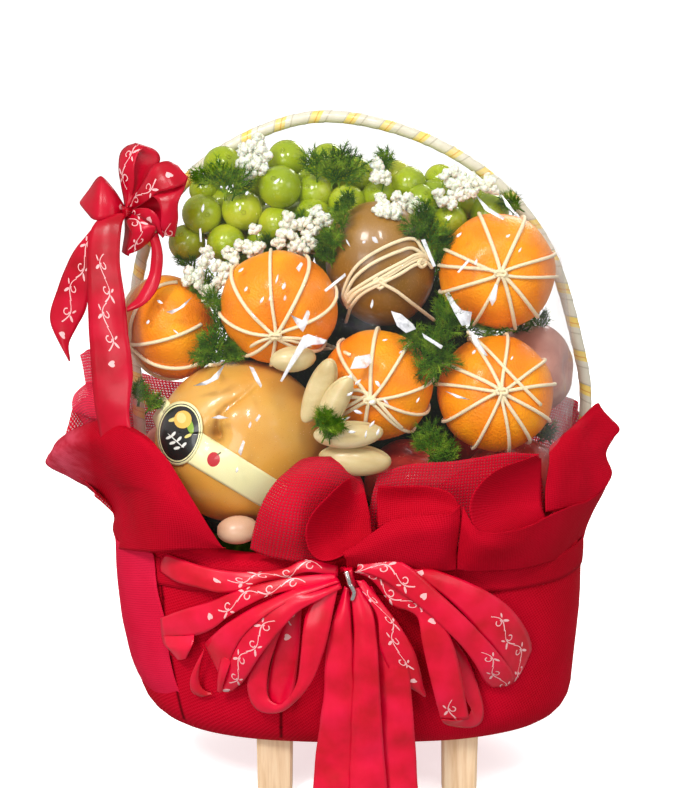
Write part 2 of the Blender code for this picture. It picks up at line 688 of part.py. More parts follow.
def make_sprays(shapes, grapes):
    """Clusters of small flowers on a thin stem, each flower clear of the fruit."""
    for i, points in enumerate(SPRAYS):
        spots = []
        for place in points:
            spot = Vector(place)
            while free_room(spot, shapes, grapes) < FLOWER_RADIUS + FLOWER_AIR:
                spot.y -= 0.5
            spots.append(spot)
        stem = add_object(f"flower_spray_{i + 1}", tube(spots, FLOWER_STEM, 4), "flower")
        balls = [ball(f"flower_{i}_{k}", p, FLOWER_RADIUS, 1, "flower") for k, p in enumerate(spots)]
        fuse(stem, balls)


# ---- label -------------------------------------------------------------------------------------
def make_label(pear):
    """An oval badge that runs into a straight band, both lying on the pear's skin."""
    length, width = LABEL_OVAL
    low, high = LABEL_LIFT
    rings = []
    for k in range(LABEL_STEPS + 1):
        s = lerp(*LABEL_RUN, k / LABEL_STEPS)
        badge = width * math.sqrt(max(0.0, 1.0 - (s / length) ** 2))
        half = max(badge, LABEL_BAND if s > 0 else LABEL_TIP)
        ring = []
        for side, lift in ((-1, high), (0, high), (1, high), (1, low), (0, low), (-1, low)):
            flat = LABEL_START + LABEL_ALONG * s + LABEL_ACROSS * (half * side)
            way = Vector((flat.x / PEAR_SEMI[0], 0.0, flat.z / PEAR_SEMI[2]))
            depth = math.sqrt(1.0 - min(way.length, 0.985) ** 2)
            full = Vector((way.x, -depth, way.z)).normalized()
            ring.append(pear.point(math.acos(full.z), math.atan2(full.y, full.x), lift))
        rings.append(ring)
    add_object("pear_label", loft(rings), "label")


# ---- ribbons -----------------------------------------------------------------------------------
def ribbon(name, points, sides):
    """A band along points; sides gives the half-width vector at each point."""
    rings = []
    for i, p in enumerate(points):
        along = (points[min(i + 1, len(points) - 1)] - points[max(i - 1, 0)]).normalized()
        side = sides[i]
        normal = along.cross(side).normalized() * (RIBBON_THICK / 2)
        rings.append([p - side - normal, p + side - normal, p + side + normal, p - side + normal])
    return add_object(name, loft(rings), "satin")


def pinch(t, width):
    """Half width along a ribbon that is gathered at its knot."""
    return width * 0.5 * lerp(RIBBON_GATHER, 1.0, min(1.0, t / RIBBON_GATHER))


def front_loop(name, tip, width, lift):
    """A loop that leaves the knot, turns at its tip and comes back underneath."""
    knot = Vector(BOW_KNOT)
    flat = Vector((tip[0] - knot.x, 0.0, tip[1] - knot.z))
    side_way = flat.normalized().cross(Vector((0.0, 1.0, 0.0)))
    points, sides = [], []
    for k in range(LOOP_STEPS + 1):
        t = 2.0 * k / LOOP_STEPS
        reach = math.sin(min(t, 2.0 - t) * math.pi / 2)
        x, z = knot.x + flat.x * reach, knot.z + flat.z * reach
        rest = tub_front(x, z) - BOW_REST
        if t < 1.0:
            outer = rest - lift * (0.55 + 0.45 * math.sin(math.pi * reach))
        elif t == 1.0:
            outer = rest - lift * 0.35
        else:
            outer = rest - RIBBON_THICK
        y = lerp(knot.y, outer, min(1.0, reach * 3.0))
        points.append(Vector((x, y, z)))
        sides.append(side_way * pinch(reach, width))
    return ribbon(name, points, sides)


def front_tail(name, end, width, lift):
    knot = Vector(BOW_KNOT)
    flat = Vector((end[0] - knot.x, 0.0, end[1] - knot.z))
    side_way = flat.normalized().cross(Vector((0.0, 1.0, 0.0)))
    points, sides = [], []
    for k in range(TAIL_STEPS + 1):
        t = k / TAIL_STEPS
        x, z = knot.x + flat.x * t ** 0.8, knot.z + flat.z * t
        rest = tub_front(x, z) - TAIL_REST - lift
        points.append(Vector((x, lerp(knot.y, rest, min(1.0, t * 3.0)), z)))
        sides.append(side_way * pinch(t, width))
    return ribbon(name, points, sides)


def knot_ball(name, centre, semi):
    bm = bmesh.new()
    bmesh.ops.create_icosphere(bm, subdivisions=2, radius=1.0)
    for vert in bm.verts:
        vert.co = Vector(centre) + Vector([vert.co[i] * semi[i] for i in range(3)])
    return add_object(name, bm, "satin")


def make_front_bow():
    knot = knot_ball("front_bow", BOW_KNOT, BOW_KNOT_SIZE)
    parts = [front_loop(f"loop_{i}", *spec) for i, spec in enumerate(BOW_LOOPS)]
    parts += [front_tail(f"tail_{i}", *spec) for i, spec in enumerate(BOW_TAILS)]
    fuse(knot, parts, "MANIFOLD")
    centre, half_width, half_length = WIRE_TIE
    wire = Fruit(centre, (0.1, 0.0, 1.0), half_width, half_length)
    add_object("silver_tie", wire.mesh(6, 4), "silver")


def make_waist_ribbon():
    """The flat ribbon tied round the waist, under the collar."""
    low, high = [TUB_TOP - drop for drop in WAIST_BAND]
    near, far = WAIST_LIFT
    bm = bmesh.new()
    rows = []
    for lift, z in ((near, low), (far, low), (far, high), (near, high)):
        semi = [size + lift for size in TUB_RIM]
        rows.append([bm.verts.new((*oval(a, semi), z)) for a in turn(TUB_SIDES)])
    for this, after in zip(rows, rows[1:] + rows[:1]):
        for i in range(TUB_SIDES):
            j = (i + 1) % TUB_SIDES
            bm.faces.new([this[i], this[j], after[j], after[i]])
    add_object("waist_ribbon", bm, "satin")


def side_loop(name, tip, width):
    """A loop of the handle's bow, opening round its own middle."""
    knot, way = Vector(SIDE_KNOT), Vector(tip)
    side = way.cross(Vector((0.0, 1.0, 0.0))).normalized()
    puff = side.cross(way).normalized()
    points, sides = [], []
    for k in range(SIDE_STEPS + 1):
        t = k / SIDE_STEPS * 2 * math.pi
        reach = 0.5 * (1.0 - math.cos(t))
        bulge = SIDE_PUFF * math.sin(t) * lerp(0.3, 1.0, reach)
        points.append(knot + way * reach + puff * bulge)
        sides.append(side * pinch(reach, width))
    return ribbon(name, points, sides)


def side_tail(name, spec, width):
    knot = Vector(SIDE_KNOT)
    path = [knot + Vector(p) for p in spec]
    points, sides = [], []
    for k, p in enumerate(path):
        t = k / (len(path) - 1)
        along = path[min(k + 1, len(path) - 1)] - path[max(k - 1, 0)]
        side = Vector((0.0, 1.0, 0.0)).cross(along).normalized()
        points.append(p)
        sides.append(side * pinch(t, width))
    return ribbon(name, points, sides)


def make_side_bow():
    knot = knot_ball("handle_bow", SIDE_KNOT, SIDE_KNOT_SIZE)
    parts = [side_loop(f"side_loop_{i}", *spec) for i, spec in enumerate(SIDE_LOOPS)]
    parts += [side_tail(f"side_tail_{i}", *spec) for i, spec in enumerate(SIDE_TAILS)]
    fuse(knot, parts, "MANIFOLD")


# ---- collar ------------------------------------------------------------------------------------
def collar_edge(degrees):
    """Height and reach of the collar's edge at a direction, eased between the listed ones."""
    spots = COLLAR_PROFILE + [(COLLAR_PROFILE[0][0] + 360, *COLLAR_PROFILE[0][1:])]
    degrees %= 360
    for (a, high_a, out_a), (b, high_b, out_b) in zip(spots, spots[1:]):
        if a <= degrees <= b:
            t = (degrees - a) / (b - a)
            t = t * t * (3 - 2 * t)
            return lerp(high_a, high_b, t), lerp(out_a, out_b, t)
    raise ValueError(degrees)


def make_collar():
    """A cloth ruff that rises from the waist and flares, thickened outward."""
    bm = bmesh.new()
    rows = []
    for j in range(COLLAR_ROWS + 1):
        v = j / COLLAR_ROWS
        row = []
        for i in range(COLLAR_STEPS):
            angle = 2 * math.pi * i / COLLAR_STEPS
            high, out = collar_edge(math.degrees(angle))
            wave = math.sin(COLLAR_WAVES * angle)
            x, y = oval(angle, [size + COLLAR_GAP for size in TUB_RIM])
            outward = Vector((x / TUB_RIM[0] ** 2, y / TUB_RIM[1] ** 2, 0.0)).normalized()
            reach = (out + COLLAR_WAVE * wave) * v
            row.append(bm.verts.new(Vector((x, y, COLLAR_BASE + high * v)) + outward * reach))
        rows.append(row)
    for low, high in zip(rows, rows[1:]):
        for i in range(COLLAR_STEPS):
            k = (i + 1) % COLLAR_STEPS
            bm.faces.new([low[i], low[k], high[k], high[i]])
    ob = add_object("collar", bm, "cloth")
    mod = ob.modifiers.new("cloth_thickness", "SOLIDIFY")
    mod.thickness = COLLAR_THICK * MM
    mod.offset = 1.0


# ---- film --------------------------------------------------------------------------------------
def hull_of(points):
    """The convex hull of points, as a bmesh with no spare vertices."""
    bm = bmesh.new()
    for point in points:
        bm.verts.new(point)
    bmesh.ops.convex_hull(bm, input=bm.verts)
    inside = [v for v in bm.verts if not v.link_faces]
    bmesh.ops.delete(bm, geom=inside, context="VERTS")
    return bm


def make_film(names):
    """Clear film drawn tight over the heap, open below where it meets the tub."""
    points = [v.co / MM for name in names for v in bpy.data.objects[name].data.vertices]
    coarse = hull_of(points)
    bmesh.ops.remove_doubles(coarse, verts=coarse.verts, dist=FILM_FACET)
    bm = hull_of([v.co for v in coarse.verts])
    coarse.free()
    bmesh.ops.recalc_face_normals(bm, faces=bm.faces)
    geometry = bm.verts[:] + bm.edges[:] + bm.faces[:]
    bmesh.ops.bisect_plane(bm, geom=geometry, plane_co=(0, 0, FILM_HEM), plane_no=(0, 0, 1),
                           clear_inner=True)
    bmesh.ops.triangulate(bm, faces=bm.faces)
    bm.normal_update()
    near, far = {}, {}
    skin = bm.faces[:]
    hem = [edge for edge in bm.edges if edge.is_boundary]
    normals = {vert: vert.normal.copy() for vert in bm.verts}
    for vert, normal in normals.items():
        far[vert] = bm.verts.new(vert.co + normal * (FILM_STANDOFF + FILM_THICK))
        near[vert] = bm.verts.new(vert.co + normal * FILM_STANDOFF)
    for face in skin:
        bm.faces.new([far[v] for v in face.verts])
        bm.faces.new([near[v] for v in reversed(face.verts)])
    for edge in hem:
        a, b = edge.verts
        bm.faces.new([far[a], far[b], near[b], near[a]])
    bmesh.ops.delete(bm, geom=list(normals), context="VERTS")
    add_object("film_cover", bm, "film")


def main():
    clear_scene()
    make_tub()
    make_feet()
    make_bed_and_core()
    make_handle()
    shapes = make_fruits()
    pear, brown = make_pear_and_brown_fruit(shapes)
    for name, spokes in TIE_SPOKES.items():
        make_tie(name + "_tie", shapes[name], spokes)
    make_brown_fruit_tie(brown)
    grapes = make_grapes(shapes)
    make_pods(shapes)
    make_ferns(shapes, grapes)
    make_sprays(shapes, grapes)
    make_label(pear)
    outside = ("wrapped_tub", "foot_", "greens_core", "handle")
    heap = [ob.name for ob in bpy.data.objects if not ob.name.startswith(outside)]
    make_film(heap)
    make_waist_ribbon()
    make_front_bow()
    make_side_bow()
    make_collar()
    frame = bpy.data.objects.new("basket_frame", None)
    bpy.context.collection.objects.link(frame)
    frame.location = Vector(FRAME_SHIFT) * MM
    for ob in bpy.data.objects:
        if ob is not frame:
            ob.parent = frame


main()
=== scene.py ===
import json
import math
import random

import bmesh
import bpy
import numpy as np
from mathutils import Matrix, Vector, noise
from mathutils.bvhtree import BVHTree

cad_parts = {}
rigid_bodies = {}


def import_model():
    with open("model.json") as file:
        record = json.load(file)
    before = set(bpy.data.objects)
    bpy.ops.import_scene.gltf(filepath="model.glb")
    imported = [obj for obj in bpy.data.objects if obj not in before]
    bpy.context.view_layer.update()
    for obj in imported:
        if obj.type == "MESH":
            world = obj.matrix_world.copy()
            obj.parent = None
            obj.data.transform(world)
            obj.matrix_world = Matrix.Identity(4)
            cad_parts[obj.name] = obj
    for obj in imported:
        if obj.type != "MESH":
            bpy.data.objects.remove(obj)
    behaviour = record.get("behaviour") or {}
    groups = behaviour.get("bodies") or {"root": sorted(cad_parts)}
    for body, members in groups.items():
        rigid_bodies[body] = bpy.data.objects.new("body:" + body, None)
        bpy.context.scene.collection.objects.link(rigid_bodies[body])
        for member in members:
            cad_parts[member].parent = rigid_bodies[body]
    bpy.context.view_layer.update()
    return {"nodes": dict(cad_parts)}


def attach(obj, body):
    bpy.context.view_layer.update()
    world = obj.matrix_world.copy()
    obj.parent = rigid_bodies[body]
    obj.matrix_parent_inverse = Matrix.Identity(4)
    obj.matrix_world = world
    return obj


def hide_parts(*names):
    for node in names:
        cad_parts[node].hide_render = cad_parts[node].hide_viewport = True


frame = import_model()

# Lengths are millimetres until a mesh is made.  +Z is up and -Y is the front.
MM = 0.001
SHIFT = np.array((14.4, -2.2, 0.0))          # from the tub's centre to the row frame
NODES = frame["nodes"]

# ---- camera, light and floor -------------------------------------------------------------------
FRAME_SIZE = (700, 788)
FOCAL = 2077.0                               # pixels
SENSOR = 36.0                                # mm
TILT = math.radians(12)
TARGET = np.array((0.0, 0.0, 245.0)) + SHIFT
DISTANCE = 1350.0
FORWARD = np.array((0.0, math.cos(TILT), -math.sin(TILT)))
UP = np.array((0.0, math.sin(TILT), math.cos(TILT)))
CAMERA = TARGET - FORWARD * DISTANCE


def at(px, py, y):
    """The place at depth y that shows at a spot of the frame."""
    way = FORWARD + np.array((1.0, 0.0, 0.0)) * (px - FRAME_SIZE[0] / 2) / FOCAL
    way = way + UP * (FRAME_SIZE[1] / 2 - py) / FOCAL
    return CAMERA + way * (y - CAMERA[1]) / way[1]


def make_camera():
    """The photo's camera."""
    data = bpy.data.cameras.new("view")
    camera = bpy.data.objects.new("view", data)
    bpy.context.scene.collection.objects.link(camera)
    camera.location = Vector(CAMERA) * MM
    camera.rotation_euler = (math.pi / 2 - TILT, 0.0, 0.0)
    data.sensor_width = SENSOR
    data.lens = FOCAL * SENSOR / max(FRAME_SIZE)
    data.clip_end = 200.0
    bpy.context.scene.camera = camera


LIGHTS = {                                   # place, aim, size in metres, watts, colour
    "key": ((-0.75, -1.35, 1.45), (0.0, 0.0, 0.2), (0.40, 0.40), 19, (1.0, 0.98, 0.95)),
    "fill": ((1.25, -1.1, 0.8), (0.0, 0.0, 0.2), (0.7, 0.7), 3, (1, 1, 1)),
    "low": ((-0.7, -1.7, 0.45), (0.0, 0.0, 0.10), (0.9, 0.5), 7, (1, 1, 1)),
    "glint": ((0.12, -1.15, 1.3), (0.02, 0.0, 0.25), (0.09, 0.32), 5, (1, 1, 1)),
    "rim": ((0.6, 1.3, 1.2), (0.0, 0.0, 0.25), (0.7, 0.7), 13, (1, 1, 1)),
}
FLOOR_HALF = 90.0                            # metres, as the wall's measures are
WALL_RADIUS, WALL_LOW, WALL_HIGH, WALL_SIDES = 16.0, -0.5, 14.0, 32


def make_light(name, place, aim, size, power, colour):
    data = bpy.data.lights.new(name, "AREA")
    data.shape = "RECTANGLE"
    data.size, data.size_y = size
    data.energy = power
    data.color = colour
    lamp = bpy.data.objects.new(name, data)
    bpy.context.scene.collection.objects.link(lamp)
    lamp.location = place
    lamp.rotation_euler = (Vector(aim) - Vector(place)).to_track_quat("-Z", "Y").to_euler()


def make_plain(name, verts, faces, grain, roughness, glow):
    """A near-white surface of the studio that throws no light on the part."""
    paint = Paint(name + "_white", roughness=roughness, specular_ior_level=0.0, emission_strength=glow,
                  emission_color=WHITE)
    paint.plug("Base Color", paint.mix(paint.noise(grain, 2), (0.88, 0.88, 0.88, 1.0), (0.93, 0.93, 0.93, 1.0)))
    data = bpy.data.meshes.new(name)
    data.from_pydata(verts, [], faces)
    data.materials.append(paint.material)
    ob = bpy.data.objects.new(name, data)
    bpy.context.scene.collection.objects.link(ob)
    ob.visible_diffuse = ob.visible_glossy = False
    return ob


def make_studio():
    """Soft light from all round, five lamps, and a near-white floor and wall."""
    scene = bpy.context.scene
    scene.view_settings.view_transform = "Standard"
    world = bpy.data.worlds.new("studio")
    scene.world = world
    world.use_nodes = True
    nodes, links = world.node_tree.nodes, world.node_tree.links
    split = nodes.new("ShaderNodeSeparateXYZ")
    links.new(nodes.new("ShaderNodeTexCoord").outputs["Generated"], split.inputs[0])
    sky = nodes.new("ShaderNodeMapRange")
    for key, value in {"From Min": -0.8, "From Max": 0.9, "To Min": 0.38, "To Max": 0.62}.items():
        sky.inputs[key].default_value = value
    links.new(split.outputs["Z"], sky.inputs["Value"])
    links.new(sky.outputs["Result"], nodes["Background"].inputs["Strength"])
    nodes["Background"].inputs["Color"].default_value = (1.0, 0.985, 0.97, 1.0)
    for name, settings in LIGHTS.items():
        make_light(name, *settings)
    half = FLOOR_HALF
    make_plain("floor", [(-half, -half, 0), (half, -half, 0), (half, half, 0), (-half, half, 0)], [(0, 1, 2, 3)],
               3.0, 0.95, 0.66)
    # a plain wall all round, far off, that only the camera sees
    turns = [2 * math.pi * k / WALL_SIDES for k in range(WALL_SIDES)]
    ring = [(WALL_RADIUS * math.cos(a), WALL_RADIUS * math.sin(a)) for a in turns]
    wall = make_plain("backdrop", [(x, y, z) for z in (WALL_LOW, WALL_HIGH) for x, y in ring],
                      grid_faces(2, WALL_SIDES, close=True), 1.0, 1.0, 1.0)
    wall.visible_transmission = wall.visible_shadow = False


# ---- materials ---------------------------------------------------------------------------------
FULL_TURN = 6.2832                           # radians
WHITE = (1.0, 1.0, 1.0, 1.0)


def linear(colour):
    """The linear colour, with alpha, of an 8-bit display colour."""
    return *((c / 255 / 12.92) if c < 10.3 else ((c / 255 + 0.055) / 1.055) ** 2.4 for c in colour), 1.0


class Value:
    """A number that a material's nodes compute; arithmetic on it adds nodes."""

    def __init__(self, paint, socket):
        self.paint = paint
        self.socket = socket

    def __rsub__(self, other):
        return self.paint.math("SUBTRACT", other, self)

    def unit(self):
        """Held between nought and one."""
        return self.most(0.0).least(1.0)


for word, kind in {
        "__add__": "ADD", "__radd__": "ADD", "__sub__": "SUBTRACT", "__mul__": "MULTIPLY", "__rmul__": "MULTIPLY",
        "__truediv__": "DIVIDE", "__pow__": "POWER", "below": "LESS_THAN", "above": "GREATER_THAN", "sin": "SINE",
        "abs": "ABSOLUTE", "fract": "FRACT", "most": "MAXIMUM", "least": "MINIMUM"}.items():
    setattr(Value, word, lambda self, other=None, kind=kind: self.paint.math(kind, self, other))


class Paint:
    """A procedural Principled material. A triple given as a colour is an 8-bit display colour."""

    def __init__(self, name, **sockets):
        self.material = bpy.data.materials.new(name)
        self.material.use_nodes = True
        self.tree = self.material.node_tree
        self.shader = self.tree.nodes["Principled BSDF"]
        for key, value in sockets.items():
            self.shader.inputs[key.replace("_", " ").title().replace("Ior", "IOR")].default_value = value

    def add(self, kind, ins=(), **props):
        made = self.tree.nodes.new(kind)
        for key, value in props.items():
            setattr(made, key, value)
        for key, value in dict(ins).items():
            self.feed(made.inputs[key], value)
        return made

    def feed(self, socket, value):
        if isinstance(value, Value):
            value = value.socket
        if isinstance(value, bpy.types.NodeSocket):
            self.tree.links.new(value, socket)
        elif isinstance(value, tuple) and len(value) == 3 and socket.type == "RGBA":
            socket.default_value = linear(value)
        else:
            socket.default_value = value

    def plug(self, name, value):
        self.feed(self.shader.inputs[name], value)

    def math(self, op, a, b=None):
        made = self.tree.nodes.new("ShaderNodeMath")
        made.operation = op
        self.feed(made.inputs[0], a)
        if b is not None:
            self.feed(made.inputs[1], b)
        return Value(self, made.outputs[0])

    def place(self):
        return self.add("ShaderNodeTexCoord").outputs["Object"]

    def uv(self):
        """The two surface coordinates, in millimetres."""
        made = self.add("ShaderNodeSeparateXYZ", {"Vector": self.add("ShaderNodeUVMap").outputs["UV"]})
        return Value(self, made.outputs["X"]), Value(self, made.outputs["Y"])

    def xyz(self):
        """The place in the row frame, in millimetres."""
        made = self.add("ShaderNodeSeparateXYZ", {"Vector": self.place()})
        return [Value(self, made.outputs[i]) * 1000.0 for i in range(3)]

    def noise(self, scale, detail, roughness=0.5, stretch=None, distortion=0.0):
        """Noise over the object, whose axes may be scaled for grain that runs one way."""
        made = self.add("ShaderNodeTexNoise", {
            "Vector": self.stretched(stretch), "Scale": scale, "Detail": detail,
            "Roughness": roughness, "Distortion": distortion})
        return Value(self, made.outputs["Fac"])

    def cells(self, scale, stretch=None):
        made = self.add("ShaderNodeTexVoronoi", {"Vector": self.stretched(stretch), "Scale": scale})
        return Value(self, made.outputs["Distance"])

    def stretched(self, scales):
        if scales is None:
            return self.place()
        return self.add("ShaderNodeMapping", {"Vector": self.place(), "Scale": scales}).outputs["Vector"]

    def ramp(self, value, stops):
        made = self.add("ShaderNodeValToRGB", {"Fac": value})
        ends = made.color_ramp.elements
        while len(ends) < len(stops):
            ends.new(0.5)
        for end, (where, colour) in zip(ends, stops):
            end.position = where
            end.color = linear(colour)
        return made.outputs["Color"]

    def mix(self, factor, a, b):
        made = self.add("ShaderNodeMix", data_type="RGBA")
        for name, value in zip(("Factor_Float", "A_Color", "B_Color"), (factor, a, b)):
            self.feed(next(i for i in made.inputs if i.identifier == name), value)
        return next(o for o in made.outputs if o.identifier == "Result_Color")

    def bump(self, height, strength, depth):
        made = self.add("ShaderNodeBump", {"Height": height, "Strength": strength, "Distance": depth * MM})
        self.plug("Normal", made.outputs["Normal"])


def off_line(x, z, start, end):
    """How far a place is from the line between two others, seen from the front."""
    run_x, run_z = end[0] - start[0], end[2] - start[2]
    t = (((x - start[0]) * run_x + (z - start[2]) * run_z) / (run_x ** 2 + run_z ** 2)).unit()
    return ((x - start[0] - t * run_x) ** 2.0 + (z - start[2] - t * run_z) ** 2.0) ** 0.5


# A plain paint: its name, the noise that colours it, the ramp on that noise, specks (scale, size, share, colour),
# relief (scale and detail of another noise, or none for the same, strength, depth in mm) and fixed sockets.
PLAIN_PAINTS = {
    "red_fruit": ("red_peel", (60.0, 5, 0.6, (1.0, 1.0, 0.4)),
                  ((0.30, (170, 30, 30)), (0.52, (204, 66, 54)), (0.76, (232, 142, 104))),
                  (330.0, 0.14, 0.7, (226, 160, 130)), (140.0, 3, 0.15, 0.4),
                  {"roughness": 0.30, "coat_weight": 0.3, "coat_roughness": 0.1}),
    "peach": ("peach_peel", (60.0, 4, 0.6, (0.3, 1.0, 1.0)),
              ((0.3, (214, 164, 130)), (0.6, (232, 190, 156)), (0.8, (242, 212, 182))), None, (200.0, 3, 0.2, 0.4),
              {"roughness": 0.4, "coat_weight": 0.25, "coat_roughness": 0.15}),
    "plum": ("pink_peel", (70.0, 4), ((0.3, (196, 128, 112)), (0.6, (214, 152, 132)), (0.8, (228, 178, 150))),
             (380.0, 0.12, 0.5, (172, 96, 84)), (180.0, 3, 0.2, 0.4),
             {"roughness": 0.42, "coat_weight": 0.3, "coat_roughness": 0.15}),
    "pod": ("cream_shell", (90.0, 4, 0.55, (0.35, 1.0, 1.0)),
            ((0.3, (198, 172, 116)), (0.6, (218, 198, 146)), (0.8, (234, 220, 178))), None, (260.0, 3, 0.2, 0.3),
            {"roughness": 0.36, "coat_weight": 0.25, "coat_roughness": 0.15, "subsurface_weight": 0.1,
             "subsurface_scale": 0.003}),
    "fern": ("fern_green", (120.0, 2), ((0.32, (40, 80, 4)), (0.52, (80, 124, 14)), (0.72, (146, 178, 44))), None, None,
             {"roughness": 0.6, "specular_ior_level": 0.15, "subsurface_weight": 0.05, "subsurface_scale": 0.001}),
    "moss": ("packing_green", (220.0, 4), ((0.35, (12, 24, 2)), (0.6, (30, 54, 8)), (0.8, (62, 92, 20))), None,
             (None, None, 0.8, 2.0), {"roughness": 0.9, "specular_ior_level": 0.03}),
    "flower": ("blossom_white", (420.0, 3),
               ((0.3, (206, 206, 176)), (0.5, (240, 239, 222)), (0.7, (252, 252, 244))), None, (None, None, 0.5, 0.5),
               {"roughness": 0.75, "subsurface_weight": 0.15, "subsurface_scale": 0.002}),
    "wood": ("pale_wood", (240.0, 5, 0.6, (1.0, 1.0, 0.06), 0.4),
             ((0.3, (226, 184, 138)), (0.55, (250, 216, 176)), (0.75, (255, 230, 196))), None, (None, None, 0.25, 0.3),
             {"roughness": 0.55}),
}


def plain_paint(kind):
    """A paint from the table above."""
    name, grain, stops, specks, relief, sockets = PLAIN_PAINTS[kind]
    p = Paint(name, **sockets)
    tone = p.noise(*grain)
    colour = p.ramp(tone, stops)
    if specks:
        scale, size, share, tint = specks
        colour = p.mix(p.cells(scale).below(size) * share, colour, tint)
    p.plug("Base Color", colour)
    if relief:
        scale, detail, strength, depth = relief
        p.bump(p.noise(scale, detail) if scale else tone, strength, depth)
    return p.material


def paint_mandarin():
    """Orange peel with fine pores."""
    p = Paint("mandarin_peel", roughness=0.42, coat_weight=0.12, coat_roughness=0.12, specular_ior_level=0.25)
    patch = p.noise(38.0, 3)
    fine = p.noise(900.0, 2)
    pores = p.cells(720.0)
    base = p.ramp(patch, [(0.30, (234, 122, 0)), (0.52, (247, 142, 0)), (0.72, (253, 164, 0))])
    dots = pores.below(0.16) * 0.35
    p.plug("Base Color", p.mix(dots, base, (206, 92, 2)))
    p.bump(pores * 1.1 + fine * 0.4 + patch * 2.0, 0.6, 0.5)
    return p.material


def paint_pear():
    """Yellow-brown skin, browner high up and brighter orange low down, the latter a painted fill light on its shaded
    underside; painted shade down its crease and in its stalk hollow.
    """
    p = Paint("pear_skin", roughness=0.33, coat_weight=0.35, coat_roughness=0.08,
              subsurface_weight=0.05, subsurface_scale=0.004)
    x, y, z = p.xyz()
    # painted fill light: the skin is made brighter and more orange low down, where it sits in shade
    low = ((z - 176.0) / 60.0).unit()
    cloud = p.noise(24.0, 4)
    base = p.mix(low, (255, 172, 44), (222, 168, 74))
    warm = p.ramp(cloud, [(0.35, (214, 140, 32)), (0.65, (228, 182, 92))])
    base = p.mix(0.10 + low * 0.35, base, warm)
    # painted shade down the crease, on the front only
    crease = [PEAR.centre + c * PEAR.semi for c in CREASE]
    front = y.below(-30.0)
    for k, (a, b) in enumerate(zip(crease[:4], crease[1:5])):
        near = (1.0 - off_line(x, z, a, b) / (3.0 - 0.4 * k)).most(0.0) * front
        base = p.mix(near * (0.62 - 0.1 * k), base, (150, 96, 22))
    # painted shade in the stalk hollow
    off = ((x - crease[0][0]) ** 2.0 + (z - crease[0][2]) ** 2.0) ** 0.5
    base = p.mix((1.0 - off / 9.0).most(0.0) * front * 0.8, base, (148, 92, 20))
    specks = p.cells(420.0).below(0.13) * 0.55
    base = p.mix(specks, base, (196, 128, 52))
    light = p.cells(300.0, (1.0, 1.0, 1.3)).below(0.10) * 0.5
    p.plug("Base Color", p.mix(light, base, (244, 214, 150)))
    p.bump(p.noise(160.0, 4), 0.25, 0.5)
    return p.material


def paint_brown():
    """Brown skin with a fine down, paler towards the top."""
    p = Paint("brown_peel", roughness=0.36, coat_weight=0.4, coat_roughness=0.1)
    z = p.xyz()[2]
    high = ((z - 318.0) / 46.0).unit()
    base = p.mix(high, (128, 88, 2), (164, 118, 40))
    cloud = p.noise(45.0, 5)
    base = p.mix(cloud * 0.5, base, (122, 78, 6))
    down = p.noise(1400.0, 2, stretch=(1.0, 1.0, 0.35))
    base = p.mix(down.above(0.62) * 0.25, base, (196, 144, 78))
    p.plug("Base Color", base)
    p.bump(down, 0.3, 0.25)
    return p.material


def paint_grape():
    """Green skin; the low grapes at the left are browner."""
    p = Paint("grape_skin", roughness=0.16, subsurface_weight=0.25, subsurface_scale=0.006,
              specular_ior_level=0.6, subsurface_radius=(0.8, 1.0, 0.25))
    x, _, z = p.xyz()
    tone = p.noise(32.0, 2)
    base = p.ramp(tone, [(0.30, (138, 160, 4)), (0.55, (160, 178, 14)), (0.75, (188, 194, 40))])
    left = ((-66.0 - x) / 26.0).unit() * 0.8
    low = ((352.0 - z) / 20.0).unit()
    base = p.mix(left * low, base, (160, 112, 22))
    veins = p.noise(120.0, 5, 0.6)
    base = p.mix(veins.above(0.6) * 0.22, base, (206, 214, 110))
    p.plug("Base Color", base)
    p.plug("Roughness", p.noise(70.0, 3) * 0.18 + 0.10)
    p.bump(veins, 0.08, 0.2)
    return p.material


def paint_cord():
    """Cream cord, twisted along its length."""
    p = Paint("cream_cord", roughness=0.62, sheen_weight=0.2)
    u, v = p.uv()
    twist = (u * 2.2 + v * FULL_TURN).sin()
    fibre = p.noise(1500.0, 2)
    p.plug("Base Color", p.mix(fibre, (228, 204, 154), (252, 240, 204)))
    p.bump(twist * 0.5 + fibre, 0.35, 0.2)
    return p.material


TAPE_PITCH = 11.6                            # mm along the handle for each turn of the tape


def paint_tape():
    """White tape wound in a spiral, with yellow marks that carry a thin orange stroke."""
    p = Paint("wound_tape", roughness=0.28, coat_weight=0.3, coat_roughness=0.1)
    u, v = p.uv()
    wound = u / TAPE_PITCH + v
    turn = wound.fract()
    seam = (turn - 0.5).abs().above(0.462)
    mark = (wound * 0.5 + 0.33).fract()
    yellow = (mark - 0.5).abs().below(0.15)
    stroke = (mark - 0.53).abs().below(0.016)
    wave = p.noise(130.0, 3)
    base = p.mix(wave, (208, 200, 174), (238, 233, 216))
    tinted = p.mix(yellow * (wave * 1.4).least(0.85), base, (250, 214, 76))
    tinted = p.mix(stroke * 0.7, tinted, (226, 150, 40))
    p.plug("Base Color", p.mix(seam * 0.45, tinted, (168, 158, 128)))
    p.bump(turn * 0.8 + wave * 0.3, 0.5, 0.4)
    return p.material


def heart(x, y):
    """One inside a heart of half size 1 about x, y = 0."""
    y = y * 1.1 - (x.abs() ** 0.72) * 0.62
    return (x * x + y * y).below(0.72)


PRINT_REPEAT = 124.0                         # mm along the ribbon from one vine to the next
OFF_PRINT = 300.0                            # mm to the side, where no print is


